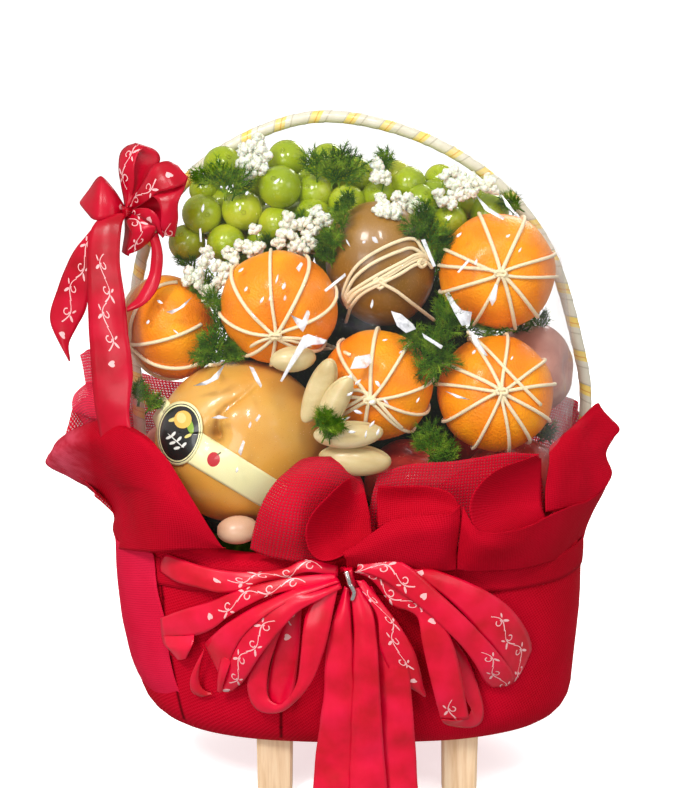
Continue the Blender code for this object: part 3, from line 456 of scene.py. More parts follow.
def vine(u, v):
    """White print: a waving stem with a curl in each bend and a leaf outside it, then a heart."""
    bend = 15.0
    cell = (u / PRINT_REPEAT).fract() * PRINT_REPEAT
    run = cell - 40.0
    inside = run.abs().below(30.0)
    turn = (run / bend).fract()
    side = ((run / (2 * bend)).fract() - 0.5).above(0.0) * 2.0 - 1.0
    c = (turn - 0.5) * bend
    w = v * side
    hump = (turn * math.pi).sin() * 3.4
    stem = (w - hump + 0.4).abs().below((turn - 0.25).abs() * 0.35 + 0.24)
    ring = ((c * c + (w - 0.3) * (w - 0.3)) ** 0.5 - 1.9).abs().below(0.34)
    curl = ring * (1.0 - c.below(-0.6) * w.above(0.2))
    a, b = (c - 3.2) * 0.8 + (w - 4.9) * 0.6, (w - 4.9) * 0.8 - (c - 3.2) * 0.6
    leaf = ((a / 2.3) ** 2.0 + (b / 0.8) ** 2.0).below(1.0)
    a, b = (c + 2.2) * 0.9 - (w - 5.0) * 0.5, (w - 5.0) * 0.9 + (c + 2.2) * 0.5
    other = ((a / 1.7) ** 2.0 + (b / 0.6) ** 2.0).below(1.0)
    lone = heart((cell - 78.0) / 2.5, v / 2.5)
    return ((stem + curl + leaf + other) * inside + lone).least(1.0)


def paint_satin(name="satin_print", shine=0.42, reds=((202, 0, 30), (226, 0, 48), (238, 8, 62))):
    """Red satin ribbon with a sparse white print."""
    p = Paint(name, roughness=0.31, specular_ior_level=shine)
    u, v = p.uv()
    fold = p.noise(46.0, 3, 0.5)
    weave = p.noise(2600.0, 1, stretch=(1.0, 0.25, 1.0))
    base = p.ramp(fold, list(zip((0.30, 0.50, 0.70), reds)))
    p.plug("Base Color", p.mix(vine(u, v) * 0.8, base, (252, 210, 210)))
    p.bump(fold + weave * 0.04, 0.25, 1.6)
    return p.material


def paint_cloth(name, dark, light, hole, pitch, slope=0.0, pale=None, creases=()):
    """Open-weave red cloth: hole is how much shows through its mesh, pale is where it fades to the left."""
    p = Paint(name, roughness=0.8, specular_ior_level=0.04)
    u, v = p.uv()
    a = (u + v * slope) * (FULL_TURN / pitch)
    b = (v - u * slope) * (FULL_TURN / pitch)
    weft, warp = a.sin(), b.sin()
    gap = (weft * 0.5 + 0.5) * (warp * 0.5 + 0.5)
    cloud = p.noise(16.0, 3)
    base = p.mix(((cloud - 0.3) * 2.5).unit(), dark, light)
    # painted highlight on the threads
    base = p.mix(gap.below(0.12) * 0.22, base, (232, 40, 70))
    # the holes: pale pink painted light showing through where the cloth is open, painted shade where it is solid
    if hole:
        base = p.mix(gap.above(0.40) * 0.30, base, (238, 120, 130))
    else:
        base = p.mix(gap.above(0.45) * 0.16, base, (140, 0, 12))
    # painted shade along the given lines, on the front only
    for start, end in creases:
        x, y, z = p.xyz()
        base = p.mix((1.0 - off_line(x, z, start, end) / 1.7).most(0.0) * y.below(0.0), base, (84, 0, 6))
    if pale is not None:
        streak = (p.noise(34.0, 3, 0.6, (1.0, 1.0, 2.4)) - 0.42).most(0.0).least(0.25) * 2.6
        edge = ((pale - p.xyz()[0]) / 26.0).unit()
        base = p.mix(edge * (streak + 0.25), base, (236, 96, 120))
    p.plug("Base Color", base)
    if hole:
        p.plug("Alpha", 1.0 - gap.above(0.30) * hole)
    p.bump(1.0 - gap, 0.5, 0.4)
    return p.material


def paint_film():
    """Clear film that shows only in a painted reflection that whitens its sides, and in a faint haze."""
    p = Paint("clear_film", roughness=0.05, specular_ior_level=0.6)
    haze = p.noise(22.0, 4, 0.55, distortion=0.6)
    x = p.xyz()[0]
    # painted reflection: the film is made whiter towards its right and left sides, where it is seen edge on
    side = ((x - 128.0) / 22.0).unit() * 0.26
    left = ((-112.0 - x) / 16.0).unit() * 0.12
    p.plug("Base Color", p.mix(haze, (206, 204, 208), (240, 240, 242)))
    p.plug("Alpha", ((haze - 0.62) * 1.2).most(0.0) * 0.4 + side + left + 0.015)
    p.bump(haze, 0.5, 2.0)
    return p.material


# painted highlight: near-white patches with a faint glow, laid on the film as its glints
def paint_film_glints():
    p = Paint("film_painted_glint", roughness=0.06, coat_weight=1.0, emission_strength=0.22, emission_color=WHITE)
    tone = p.noise(190.0, 3)
    p.plug("Base Color", p.mix(tone, (206, 210, 222), (255, 255, 255)))
    p.plug("Alpha", (tone * 1.9 - 0.25).most(0.2).least(0.92))
    return p.material


def paint_silver():
    p = Paint("silver_foil", metallic=1.0, roughness=0.22)
    tone = p.noise(700.0, 2)
    p.plug("Base Color", p.mix(tone, (176, 172, 168), (250, 250, 248)))
    p.bump(tone, 0.6, 0.4)
    return p.material


LABEL_MARKS = [                 # ovals on the label: centre, half axes, lean and colour, the last ones on top
    (6.4, 4.6, 5.0, 2.0, 1.9, (140, 176, 50)), (-4.2, 8.6, 3.2, 1.2, 0.3, (232, 214, 120)),
    (5.6, -1.6, 2.4, 1.0, 0.5, (232, 214, 120)), (-1.8, -4.6, 7.0, 0.35, -0.7, (236, 236, 228)),
    (-6.2, -2.6, 2.0, 0.9, 0.4, (240, 240, 232)), (-3.6, -0.6, 2.0, 0.9, 0.9, (240, 240, 232)),
    (-3.8, -6.0, 2.0, 0.9, 0.3, (240, 240, 232)), (0.2, -3.6, 2.0, 0.9, 0.9, (240, 240, 232)),
    (-0.8, -9.2, 2.0, 0.9, 0.2, (240, 240, 232)), (3.4, -7.2, 2.0, 0.9, 0.8, (240, 240, 232)),
    (1.6, 8.6, 5.4, 5.6, 0.5, (242, 190, 84)), (0.6, 9.6, 2.8, 3.4, 0.5, (250, 216, 136)),
    (122.7, 0.0, 4.1, 4.4, 0.0, (196, 26, 40)), (124.2, 4.8, 0.5, 1.7, -0.5, (90, 80, 40)),
]


def paint_label():
    """A dark oval with a ring and a plain fruit and sprig, and a cream band with a red dot."""
    p = Paint("label_paper", roughness=0.3, coat_weight=0.4, coat_roughness=0.08)
    u, v = p.uv()
    paper = p.mix(p.noise(60.0, 2), (246, 238, 168), (252, 248, 196))
    narrow = u / (1.0 + v * 0.0045)
    badge = ((narrow / 14.3) ** 2.0 + (v / 20.2) ** 2.0) ** 0.5
    colour = p.mix(badge.below(0.84), paper, (18, 18, 14))
    colour = p.mix((badge - 0.90).abs().below(0.016), colour, (60, 60, 56))
    for centre_u, centre_v, half_a, half_b, lean, tint in LABEL_MARKS:
        c, s = math.cos(lean), math.sin(lean)
        along, over = u - centre_u, v - centre_v
        x = (along * c + over * s) / half_a
        y = (over * c - along * s) / half_b
        colour = p.mix(((x * x + y * y) ** 0.5).below(1.0), colour, tint)
    p.plug("Base Color", colour)
    p.bump(p.noise(30.0, 3), 0.2, 0.6)
    return p.material


# ---- meshes ------------------------------------------------------------------------------------
class Batch:
    """Collects surfaces into one mesh piece, with millimetre UVs."""

    def __init__(self):
        self.verts, self.faces, self.uvs, self.count = [], [], [], 0

    def add(self, verts, faces, uvs=None):
        verts = np.asarray(verts, float).reshape(-1, 3)
        self.verts.append(verts)
        self.uvs.append(np.zeros((len(verts), 2)) if uvs is None else np.asarray(uvs, float).reshape(-1, 2))
        self.faces += [[int(i) + self.count for i in f] for f in faces]
        self.count += len(verts)

    def piece(self, name, paint, slot, nodes=(), thick=0.0):
        """Make the piece: it rides the body and stands for the CAD nodes named; its slot is not used."""
        data = bpy.data.meshes.new(name)
        verts = np.concatenate(self.verts) * MM
        data.from_pydata(verts.tolist(), [], self.faces)
        layer = data.uv_layers.new(name="UVMap")
        loops = np.empty(len(data.loops), dtype=np.int32)
        data.loops.foreach_get("vertex_index", loops)
        layer.data.foreach_set("uv", np.concatenate(self.uvs)[loops].ravel())
        ob = bpy.data.objects.new(name, data)
        bpy.context.scene.collection.objects.link(ob)
        data.materials.append(paint)
        data.shade_smooth()
        data.validate()
        if thick:
            mod = ob.modifiers.new("thickness", "SOLIDIFY")
            mod.thickness = thick * MM
            mod.offset = 0.0
        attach(ob, "root")
        if nodes:
            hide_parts(*nodes)
        return ob


def grid_faces(rows, columns, close=False):
    """The faces of a grid of places, closed into a ring across its columns if asked."""
    faces = []
    for i in range(rows - 1):
        for j in range(columns if close else columns - 1):
            k = (j + 1) % columns
            faces.append((i * columns + j, i * columns + k, (i + 1) * columns + k, (i + 1) * columns + j))
    return faces


def curve(points, count):
    """Evenly timed places on a smooth curve through the points."""
    pts = np.asarray(points, float)
    if len(pts) == 2:
        t = np.linspace(0, 1, count)[:, None]
        return pts[0] * (1 - t) + pts[1] * t
    pts = np.vstack([2 * pts[0] - pts[1], pts, 2 * pts[-1] - pts[-2]])
    t = np.linspace(0, len(pts) - 3, count)
    k = np.minimum(t.astype(int), len(pts) - 4)
    f = (t - k)[:, None]
    a, b, c, d = pts[k], pts[k + 1], pts[k + 2], pts[k + 3]
    return 0.5 * (2 * b + (c - a) * f + (2 * a - 5 * b + 4 * c - d) * f ** 2
                  + (3 * b - a - 3 * c + d) * f ** 3)


def arc_length(places):
    """How far along its path each place is."""
    steps = np.linalg.norm(np.diff(places, axis=0), axis=-1)
    return np.concatenate([[0.0], np.cumsum(steps)])


def skin(rows, along, across):
    """A smooth surface through rows of places: an (across, along, 3) grid."""
    lines = np.array([curve(row, along) for row in rows])
    return np.array([curve(lines[:, i], across) for i in range(along)]).transpose(1, 0, 2)


def skin_uv(surface):
    """Lengths along and across the surface, with v zero at its middle."""
    middle = surface[len(surface) // 2]
    u = np.broadcast_to(arc_length(middle)[None, :], surface.shape[:2])
    v = np.array([arc_length(surface[:, i]) for i in range(surface.shape[1])]).T
    v = v - v[-1:] / 2
    return np.stack([u, v], -1)


def ripple(surface, size, amount, seed=0.0):
    """Push a surface gently in and out, as soft cloth stands."""
    du = np.gradient(surface, axis=1)
    dv = np.gradient(surface, axis=0)
    normal = np.cross(du, dv)
    normal /= np.linalg.norm(normal, axis=-1, keepdims=True) + 1e-9
    out = surface.copy()
    for i in range(surface.shape[0]):
        for j in range(surface.shape[1]):
            p = surface[i, j] / size
            out[i, j] += normal[i, j] * amount * noise.noise(Vector((p[0] + seed, p[1], p[2] - seed)))
    return out


def globe(fruit, sides, rows, shape=None):
    """The verts and faces of a fruit's skin, closed at both poles."""
    verts = [fruit.point(0.0, 0.0, 0.0, shape)]
    for k in range(1, rows):
        for i in range(sides):
            verts.append(fruit.point(math.pi * k / rows, 2 * math.pi * i / sides, 0.0, shape))
    verts.append(fruit.point(math.pi, 0.0, 0.0, shape))
    faces = [(0, 1 + i, 1 + (i + 1) % sides) for i in range(sides)]
    for k in range(rows - 2):
        a, b = 1 + k * sides, 1 + (k + 1) * sides
        for i in range(sides):
            j = (i + 1) % sides
            faces.append((a + i, b + i, b + j, a + j))
    last = 1 + (rows - 2) * sides
    faces += [(last + i, len(verts) - 1, last + (i + 1) % sides) for i in range(sides)]
    return verts, faces


class Fruit:
    """A round fruit whose skin can be asked for its place in any direction."""

    def __init__(self, centre, pole, equator, polar, dimple=0.0, lobes=(0, 0.0)):
        self.centre = np.array(centre, float) + SHIFT
        axis = Vector(pole).normalized()
        side = Vector((0.0, 0.0, 1.0)).cross(axis)
        if side.length < 0.2:
            side = Vector((0.0, -1.0, 0.0)).cross(axis)
        side.normalize()
        self.turned = np.array(Matrix((side, axis.cross(side), axis)).transposed())
        self.semi = (equator, equator, polar)
        self.dimple = dimple
        self.lobes = lobes

    def point(self, polar, azimuth, lift=0.0, shape=None):
        s, c = math.sin(polar), math.cos(polar)
        way = np.array((s * math.cos(azimuth), s * math.sin(azimuth), c))
        size = 1.0 + (shape(way) if shape else 0.0)
        if self.lobes[0]:
            size += self.lobes[1] * math.cos(self.lobes[0] * azimuth + self.centre[0]) * s
        flat = way * (np.array(self.semi) * size + lift)
        flat[2] -= self.dimple * math.exp(-(s / 0.30) ** 2) * (1 if c > 0 else -1)
        return self.centre + self.turned @ flat


class Egg(Fruit):
    """A smooth fruit with three half axes, leaning to the side."""

    def __init__(self, centre, semi, lean):
        self.centre = np.array(centre, float) + SHIFT
        self.turned = np.array(Matrix.Rotation(lean, 3, "Y"))
        self.semi = semi
        self.dimple = 0.0
        self.lobes = (0, 0.0)


def tube(batch, path, radius, sides):
    """A closed round tube along a path."""
    path = np.asarray(path, float)
    along = np.gradient(path, axis=0)
    along /= np.linalg.norm(along, axis=1, keepdims=True) + 1e-9
    side = np.cross(along[0], (0.31, 0.42, 0.85))
    u = arc_length(path)
    verts, uvs = [], []
    for i, p in enumerate(path):
        side = side - along[i] * side.dot(along[i])
        side = side / (np.linalg.norm(side) + 1e-9)
        up = np.cross(along[i], side)
        for k in range(sides):
            a = 2 * math.pi * k / sides
            verts.append(p + radius * (math.cos(a) * side + math.sin(a) * up))
            uvs.append((u[i], k / sides))
    faces = grid_faces(len(path), sides, close=True)
    faces += [tuple(range(sides))[::-1], tuple(range((len(path) - 1) * sides, len(path) * sides))]
    batch.add(verts, faces, uvs)


# ---- fruit -------------------------------------------------------------------------------------
FRUITS = {                      # centre, stalk's direction, half width, half height
    "mandarin_1": ((-114, -22, 293), (-0.86, -0.42, -0.30), 33.5, 28.0),
    "mandarin_2": ((-44, -54, 311), (-0.04, -1.0, -0.40), 36.5, 31.0),
    "mandarin_3": ((91.5, -38, 331), (0.0, -1.0, 0.12), 36.5, 31.0),
    "mandarin_4": ((16.5, -68, 265), (-0.15, -1.0, -0.10), 34.5, 30.0),
    "mandarin_5": ((90, -64, 259), (0.05, -1.0, 0.25), 36.0, 30.0),
    "mandarin_6": ((-40, 54, 271), (0.0, 1.0, 0.2), 35.0, 31.0),
    "mandarin_7": ((44, 54, 269), (0.0, 1.0, 0.2), 35.5, 31.0),
    "red_fruit_1": ((117, -1, 262), (0.9, -0.4, 0.1), 30.0, 28.0),
    "red_fruit_2": ((39, -52, 199), (0.1, -0.3, 1.0), 30.0, 27.0),
    "red_fruit_3": ((104, -46, 198), (0.1, -0.5, 1.0), 31.0, 28.0),
    "red_fruit_4": ((-78, 50, 204), (-0.2, 0.4, 1.0), 33.0, 30.0),
    "red_fruit_5": ((0, 56, 203), (0.0, 0.3, 1.0), 33.5, 30.0),
    "red_fruit_6": ((78, 48, 204), (0.2, 0.4, 1.0), 33.0, 30.0),
    "plum_1": ((-119, -8, 211), (0.0, -1.0, 0.3), 16.0, 15.0),
    "plum_2": ((-69, -88, 178.0), (1.0, 0.0, 0.08), 8.8, 13.2),
}
PEAR = Egg((-68.5, -50.5, 225), (54.0, 45.0, 51.5), 0.0)
BROWN = Egg((19, -31, 335), (34.0, 27.0, 39.5), math.radians(-14))


def egg_way(egg, px, py):
    """Where on an upright egg a spot of the frame falls, with its half axes as units."""
    start = (CAMERA - egg.centre) / egg.semi
    way = (at(px, py, 0.0) - CAMERA) / egg.semi
    a, b, c = way.dot(way), start.dot(way), start.dot(start) - 1.0
    spot = start + way * (-b - math.sqrt(max(b * b - a * c, 0.0))) / a
    return spot / np.linalg.norm(spot)


CREASE = [egg_way(PEAR, x, y) for x, y in
          ((213, 435), (215, 425), (218, 415), (225, 407), (236, 400), (248, 391), (258, 383))]
SPOKES = {                      # degrees round the knot at which cords leave it
    "mandarin_1": (8, 62, 118, 170, 214, 262, 318),
    "mandarin_2": (20, 62, 98, 140, 182, 228, 262, 318),
    "mandarin_3": (22, 68, 105, 157, 168, 198, 246, 291, 317, 350),
    "mandarin_4": (8, 50, 92, 128, 176, 212, 262, 310, 338),
    "mandarin_5": (12, 38, 82, 112, 150, 170, 204, 246, 282, 300, 332),
    "mandarin_6": (15, 75, 135, 195, 255, 315),
    "mandarin_7": (0, 60, 120, 180, 240, 300),
}


def pear_shape(way):
    """The sunken stalk end and the crease above it, where the right lobe rolls over the left."""
    off = way - CREASE[0]
    far = math.sqrt(off.dot(off))
    hollow = 0.07 * math.exp(-(far / 0.22) ** 2) + 0.10 * math.exp(-(far / 0.09) ** 2)
    fold = 0.0
    if way[1] < 0.1:
        best = (9.0, 0.0, 0.0)
        for k in range(len(CREASE) - 1):
            a, run = CREASE[k], CREASE[k + 1] - CREASE[k]
            t = min(1.0, max(0.0, (way - a).dot(run) / run.dot(run)))
            gap = way - a - run * t
            d = math.sqrt(gap.dot(gap))
            if d < best[0]:
                best = (d, (k + t) / (len(CREASE) - 1), gap[0] * run[2] - gap[2] * run[0])
        d, t, side = best
        ease = (1.0 - t) ** 0.6
        fold = ease * (0.05 * math.exp(-(d / 0.10) ** 2) + 0.08 * math.exp(-(d / 0.034) ** 2))
        if side < 0:
            fold += 0.05 * ease * math.exp(-(d / 0.26) ** 2)
    return -hollow - fold + 0.008 * math.sin(3 * way[0] + 2 * way[2])


FRUIT_FORM = {"mandarin": (1.6, (7, 0.010)), "red_fruit": (5.5, (5, 0.018)), "plum": (0.4, (3, 0.03))}   # dimple, lobes
FRUIT_PAINT = {"red_fruit_1": "plum", "plum_2": "peach"}


def make_fruits():
    shapes = {}
    paints = {kind: plain_paint(kind) for kind in ("red_fruit", "plum", "peach")}
    paints["mandarin"] = paint_mandarin()
    for name, (centre, pole, equator, polar) in FRUITS.items():
        kind = name.rsplit("_", 1)[0]
        shapes[name] = Fruit(centre, pole, equator, polar, *FRUIT_FORM[kind])
        batch = Batch()
        batch.add(*globe(shapes[name], 56, 36))
        batch.piece(name + "_skin", paints[FRUIT_PAINT.get(name, kind)], kind, [name])
    batch = Batch()
    batch.add(*globe(PEAR, 200, 140, pear_shape))
    batch.piece("pear_skin", paint_pear(), "pear", ["pear"])
    batch = Batch()
    batch.add(*globe(BROWN, 64, 44))
    batch.piece("brown_fruit_skin", paint_brown(), "brown_fruit", ["brown_fruit"])
    return shapes


STRANDS = [                     # cords on the brown fruit, in frame places
    [(346, 305), (343, 293), (352, 272), (366, 258), (387, 246), (406, 239), (416, 240), (421, 247), (427, 256)],
    [(348, 308), (345, 298), (353, 280), (367, 267), (383, 258), (400, 251), (411, 248), (420, 252), (428, 259)],
    [(346, 302), (350, 293), (364, 283), (383, 272), (404, 261), (416, 255), (428, 256), (433, 262)],
    [(349, 306), (353, 297), (371, 286), (390, 275), (410, 263), (421, 259), (429, 264)],
    [(346, 300), (356, 292), (372, 283), (391, 272), (412, 259), (424, 256), (430, 260)],
    [(350, 308), (362, 294), (382, 283), (400, 274), (415, 265), (427, 263), (432, 268)],
    [(379, 283), (364, 292), (352, 305), (346, 322)],
    [(379, 282), (396, 291), (413, 304), (434, 320)],
    [(379, 281), (366, 287), (356, 293), (348, 303)],
    [(374, 286), (380, 279), (385, 283), (380, 288), (374, 282), (378, 277)],
    [(418, 263), (422, 260), (426, 263), (422, 267), (418, 264)],
]


def on_brown(px, py, lift):
    """The place off the brown fruit's front that shows at a spot of the frame."""
    front = BROWN.centre[1]
    y = front - BROWN.semi[1]
    for _ in range(12):
        p = BROWN.turned.T @ (at(px, py, y) - BROWN.centre)
        flat = 1.0 - (p[0] / (BROWN.semi[0] + lift)) ** 2 - (p[2] / (BROWN.semi[2] + lift)) ** 2
        y = front - (BROWN.semi[1] + lift) * math.sqrt(max(flat, 0.0))
    return at(px, py, y)


def make_ties(shapes):
    """Cords from a knot at each mandarin's front, over its skin and round behind it."""
    paint = paint_cord()
    for name, spokes in SPOKES.items():
        fruit, batch = shapes[name], Batch()
        rng = random.Random(name)
        for k, angle in enumerate(spokes):
            drift, bend = rng.uniform(-0.10, 0.10), rng.choice((-1, 1)) * rng.uniform(0.1, 0.3)
            reach = math.radians(rng.uniform(104, 118))
            height = 1.1 + 0.5 * (k % 4)
            path = []
            for t in np.arange(21) / 20:
                turn = math.radians(angle) + drift * math.sin(2.6 * t) + bend * math.exp(-t * 9)
                path.append(fruit.point(reach * t, turn, 1.15 + height * math.exp(-(reach * t / 0.16) ** 2)))
            tube(batch, curve(path, 44), rng.uniform(1.05, 1.25), 7)
        tip = rng.uniform(0, 6.28)
        for k in range(2):
            loop = []
            for i in range(11):
                a = tip + k * 1.7 + 2 * math.pi * i / 12
                loop.append(fruit.point(0.05 + 0.03 * math.cos(2 * a), a, 3.4 + 0.7 * k))
            tube(batch, curve(loop, 24), 1.1, 7)
        batch.piece(name + "_cords", paint, "cord", [name + "_tie"])
    batch = Batch()
    for k, strand in enumerate(STRANDS):
        lift = 1.3 + 0.45 * (k % 3) + (0.8 if k > 5 else 0.0)
        tube(batch, curve([on_brown(x, y, lift) for x, y in strand], 44), 1.15, 7)
    batch.piece("brown_fruit_cords", paint, "cord", ["brown_fruit_tie"])


# ---- grapes ------------------------------------------------------------------------------------
GRAPES = [                      # frame place, radius in pixels, depth
    (287, 160, 20, 2), (280, 187, 21.5, -17), (242, 210, 20.5, -15), (202, 214, 20, -14), (276, 224, 18, -18),
    (226, 243, 19, -20), (187, 243, 18.5, -10), (223, 166, 20, 4), (222, 204, 16, 6), (212, 226, 15, 4),
    (315, 192, 18.5, -10), (313, 214, 17.5, -16), (347, 203, 19, -14), (379, 198, 18, -10), (328, 162, 19, 6),
    (356, 176, 19, 2), (396, 177, 17, 0), (408, 184, 18, -6), (420, 201, 17, -14), (434, 196, 17, -4),
    (450, 221, 17, -14), (386, 192, 15, -4), (489, 212, 20, -2), (468, 200, 18, 4), (250, 182, 17, 2),
    (262, 240, 17, -8), (300, 178, 16, 4), (440, 180, 16, 6), (365, 215, 16, -6), (330, 232, 17, -8),
    (410, 216, 17, -6), (205, 190, 16, 8),
]
GRAPE_PIXEL = 0.637             # mm for a pixel at the grapes
GOLDEN = math.pi * (3 - math.sqrt(5))        # the golden angle


def make_grapes():
    batch = Batch()
    rng = random.Random(5)
    spots = [(at(px, py, y), radius * GRAPE_PIXEL) for px, py, radius, y in GRAPES]
    # more grapes behind, spread over an egg and kept under the handle
    centre, semi = np.array((-6, 16, 355.0)) + SHIFT, np.array((89.18, 25.0, 24.0))
    for k in range(150):
        z = 1 - 2 * (k + 0.5) / 150
        r = math.sqrt(1 - z * z)
        spot = centre + semi * np.array((z, r * math.cos(GOLDEN * k), r * math.sin(GOLDEN * k)))
        near = min(np.linalg.norm(spot - s) for s, _ in spots)
        if near > 21.0 and spot[1] > 4 and spot[2] < 405 - 0.0042 * (spot[0] - 4) ** 2:
            spots.append((spot, rng.uniform(12.2, 13.2)))
    for spot, radius in spots:
        pole = (rng.uniform(-0.5, 0.5), -1.0, rng.uniform(-0.1, 0.8))
        grape = Fruit(spot - SHIFT, pole, radius, radius * rng.uniform(1.0, 1.07), 0.5)
        batch.add(*globe(grape, 28, 18))
        scar = [grape.point(0.10, a * math.pi / 4, 0.12) for a in range(9)]
        tube(batch, curve(scar, 14), 0.32, 5)
    core = Egg((-6, 16, 352), (82.0, 18.0, 18.0), 0.0)
    batch.add(*globe(core, 32, 16))
    batch.piece("grape_bunch", paint_grape(), "grape", ["grape_heap"])


LOOSE_ENDS = [                  # frame places
    [(275, 337), (262, 340), (248, 348), (236, 358), (222, 364), (210, 365)],
    [(275, 339), (290, 340), (306, 345), (322, 349), (334, 348)],
    [(275, 338), (296, 338), (318, 342), (336, 348), (350, 355)],
    [(369, 394), (358, 390), (348, 391), (338, 390)],
    [(369, 394), (380, 404), (392, 418), (402, 428)],
    [(369, 394), (352, 404), (340, 410), (330, 417)],
    [(468, 332), (490, 352), (514, 378), (541, 405)],
]


def make_loose_ends(tree):
    """Cord ends that run off the fruit they tie and over their neighbours."""
    batch = Batch()
    for end in LOOSE_ENDS:
        smooth = np.array([lay(tree, x, y, 2.4, -90.0) for x, y in curve(end, 16)])
        for _ in range(3):
            smooth[1:-1] = smooth[1:-1] * 0.5 + (smooth[:-2] + smooth[2:]) * 0.25
        tube(batch, curve(smooth, 36), 1.1, 7)
    batch.piece("loose_cords", bpy.data.materials["cream_cord"], "cord")


# ---- greens, pods and flowers --------------------------------------------------------------------
PODS = [                        # centre, long direction, half length, half width, bend
    ((-34, -92, 286), (1.0, 0.25, 0.05), 13.0, 8.0, 1.0), ((-18, -94, 268), (0.42, -0.1, 1.0), 20.0, 8.5, -5.0),
    ((-1, -104, 242), (1.0, 0.0, 0.05), 19.5, 8.5, 2.0), ((3, -96, 224.5), (1.0, 0.0, -0.08), 20.5, 10.0, 1.0),
    ((-9, -103, 262), (0.50, 0.1, 1.0), 17.0, 8.0, -5.0),
]
FERN_SPOTS = [  # frame place, depth, reach in pixels, direction the sprig leans in degrees
    (222, 180, -30, 36, 100), (238, 184, -30, 30, 60), (206, 178, -30, 24, 130), (332, 170, -22, 36, 90),
    (350, 172, -22, 36, 55), (316, 166, -22, 30, 120), (340, 160, -20, 28, 40), (340, 218, -52, 22, 90),
    (334, 240, -56, 22, 100), (328, 256, -48, 22, 90), (346, 204, -46, 18, 60), (212, 356, -26, 32, 90),
    (202, 350, -22, 28, 120), (228, 352, -30, 28, 60), (205, 284, -22, 28, 90), (226, 270, -18, 26, 60),
    (430, 238, -50, 34, 70), (416, 230, -52, 28, 110), (442, 244, -48, 24, 60), (424, 216, -50, 26, 90),
    (438, 344, -86, 36, 100), (424, 358, -88, 36, 70), (448, 326, -84, 34, 60), (432, 366, -88, 30, 240),
    (444, 312, -84, 26, 90), (418, 340, -88, 26, 150), (440, 360, -86, 30, 20), (214, 348, -62, 34, 110),
    (224, 336, -62, 32, 70), (208, 356, -62, 24, 190), (232, 354, -62, 26, 20), (220, 318, -60, 26, 90),
    (214, 302, -56, 22, 100), (328, 430, -116, 22, 100), (322, 420, -116, 20, 50), (332, 424, -117, 18, 20),
    (436, 450, -88, 30, 95), (446, 454, -86, 26, 60), (430, 436, -88, 26, 100), (440, 462, -86, 20, 90),
    (426, 444, -86, 18, 140), (436, 276, -30, 26, 90), (440, 262, -30, 24, 80), (478, 326, -22, 28, 20),
    (498, 330, -22, 28, 160), (520, 326, -14, 30, 60), (538, 322, -8, 28, 100), (545, 434, -34, 22, 90),
    (140, 394, -58, 20, 90), (152, 404, -58, 18, 60), (385, 162, -14, 20, 80), (512, 205, -14, 22, 120),
    (300, 224, -24, 20, 100), (268, 247, -24, 20, 90), (236, 266, -34, 22, 90), (196, 292, -30, 22, 60),
    (188, 262, -16, 22, 100), (326, 248, -50, 20, 100),
]
BLOSSOMS = [                    # frame places
    (250, 143), (258, 140), (262, 149), (252, 154), (245, 149), (266, 156), (242, 161), (251, 172), (262, 169),
    (248, 164), (256, 162), (246, 178), (207, 253), (199, 272), (188, 280), (218, 267), (213, 288), (210, 301),
    (224, 277), (239, 245), (235, 258), (247, 248), (259, 247), (255, 228), (197, 283), (190, 271), (228, 252),
    (219, 282), (204, 262), (252, 251), (206, 292), (228, 268), (288, 218), (285, 227), (279, 242), (298, 224),
    (307, 221), (323, 215), (328, 219), (307, 236), (313, 244), (304, 251), (293, 247), (318, 223), (291, 236),
    (301, 243), (312, 229), (283, 235), (316, 213), (377, 164), (376, 176), (385, 178), (379, 199), (379, 210),
    (389, 212), (398, 196), (400, 206), (380, 170), (384, 205), (394, 208), (403, 205), (415, 205), (422, 209),
    (386, 212), (396, 213), (411, 213), (408, 199), (438, 194), (446, 176), (455, 172), (461, 178), (473, 180),
    (471, 192), (453, 196), (451, 205), (457, 186), (485, 188), (494, 189), (465, 184), (449, 183), (462, 196),
    (479, 184), (442, 200), (489, 181),
]
BACK_BLOSSOMS = [(-60, 48, 352), (-48, 50, 346), (-30, 52, 350), (20, 54, 345), (34, 52, 352), (60, 48, 350)]


def heap_tree():
    """The fruit and grapes as one tree, to lay small things on."""
    verts, faces = [], []
    for ob in bpy.data.objects:
        if ob.name.endswith("_skin") or ob.name in ("grape_bunch", "greens_core"):
            base = len(verts)
            verts += [v.co / MM for v in ob.data.vertices]
            faces += [[base + i for i in f.vertices] for f in ob.data.polygons]
    return BVHTree.FromPolygons(verts, faces)


def lay(tree, px, py, lift, spare_y=-10.0):
    """The place in front of the heap at a spot of the frame."""
    way = Vector(at(px, py, 0.0) - CAMERA).normalized()
    hit = tree.ray_cast(Vector(CAMERA), way)[0]
    if hit is None:
        return at(px, py, spare_y)
    return np.array(hit - way * lift)


THIRDS = (0.0, 2.094, 4.189)                 # a third of a turn apart


def needles(batch, starts, ways, lengths, radius):
    """Fine three-sided needles."""
    for start, way, length in zip(starts, ways, lengths):
        side = np.cross(way, (0.3, 0.9, 0.2))
        side /= np.linalg.norm(side) + 1e-9
        up = np.cross(way, side)
        base = [start + radius * (math.cos(a) * side + math.sin(a) * up) for a in THIRDS]
        batch.add(base + [start + way * length], [(0, 2, 1), (0, 1, 3), (1, 2, 3), (2, 0, 3)])


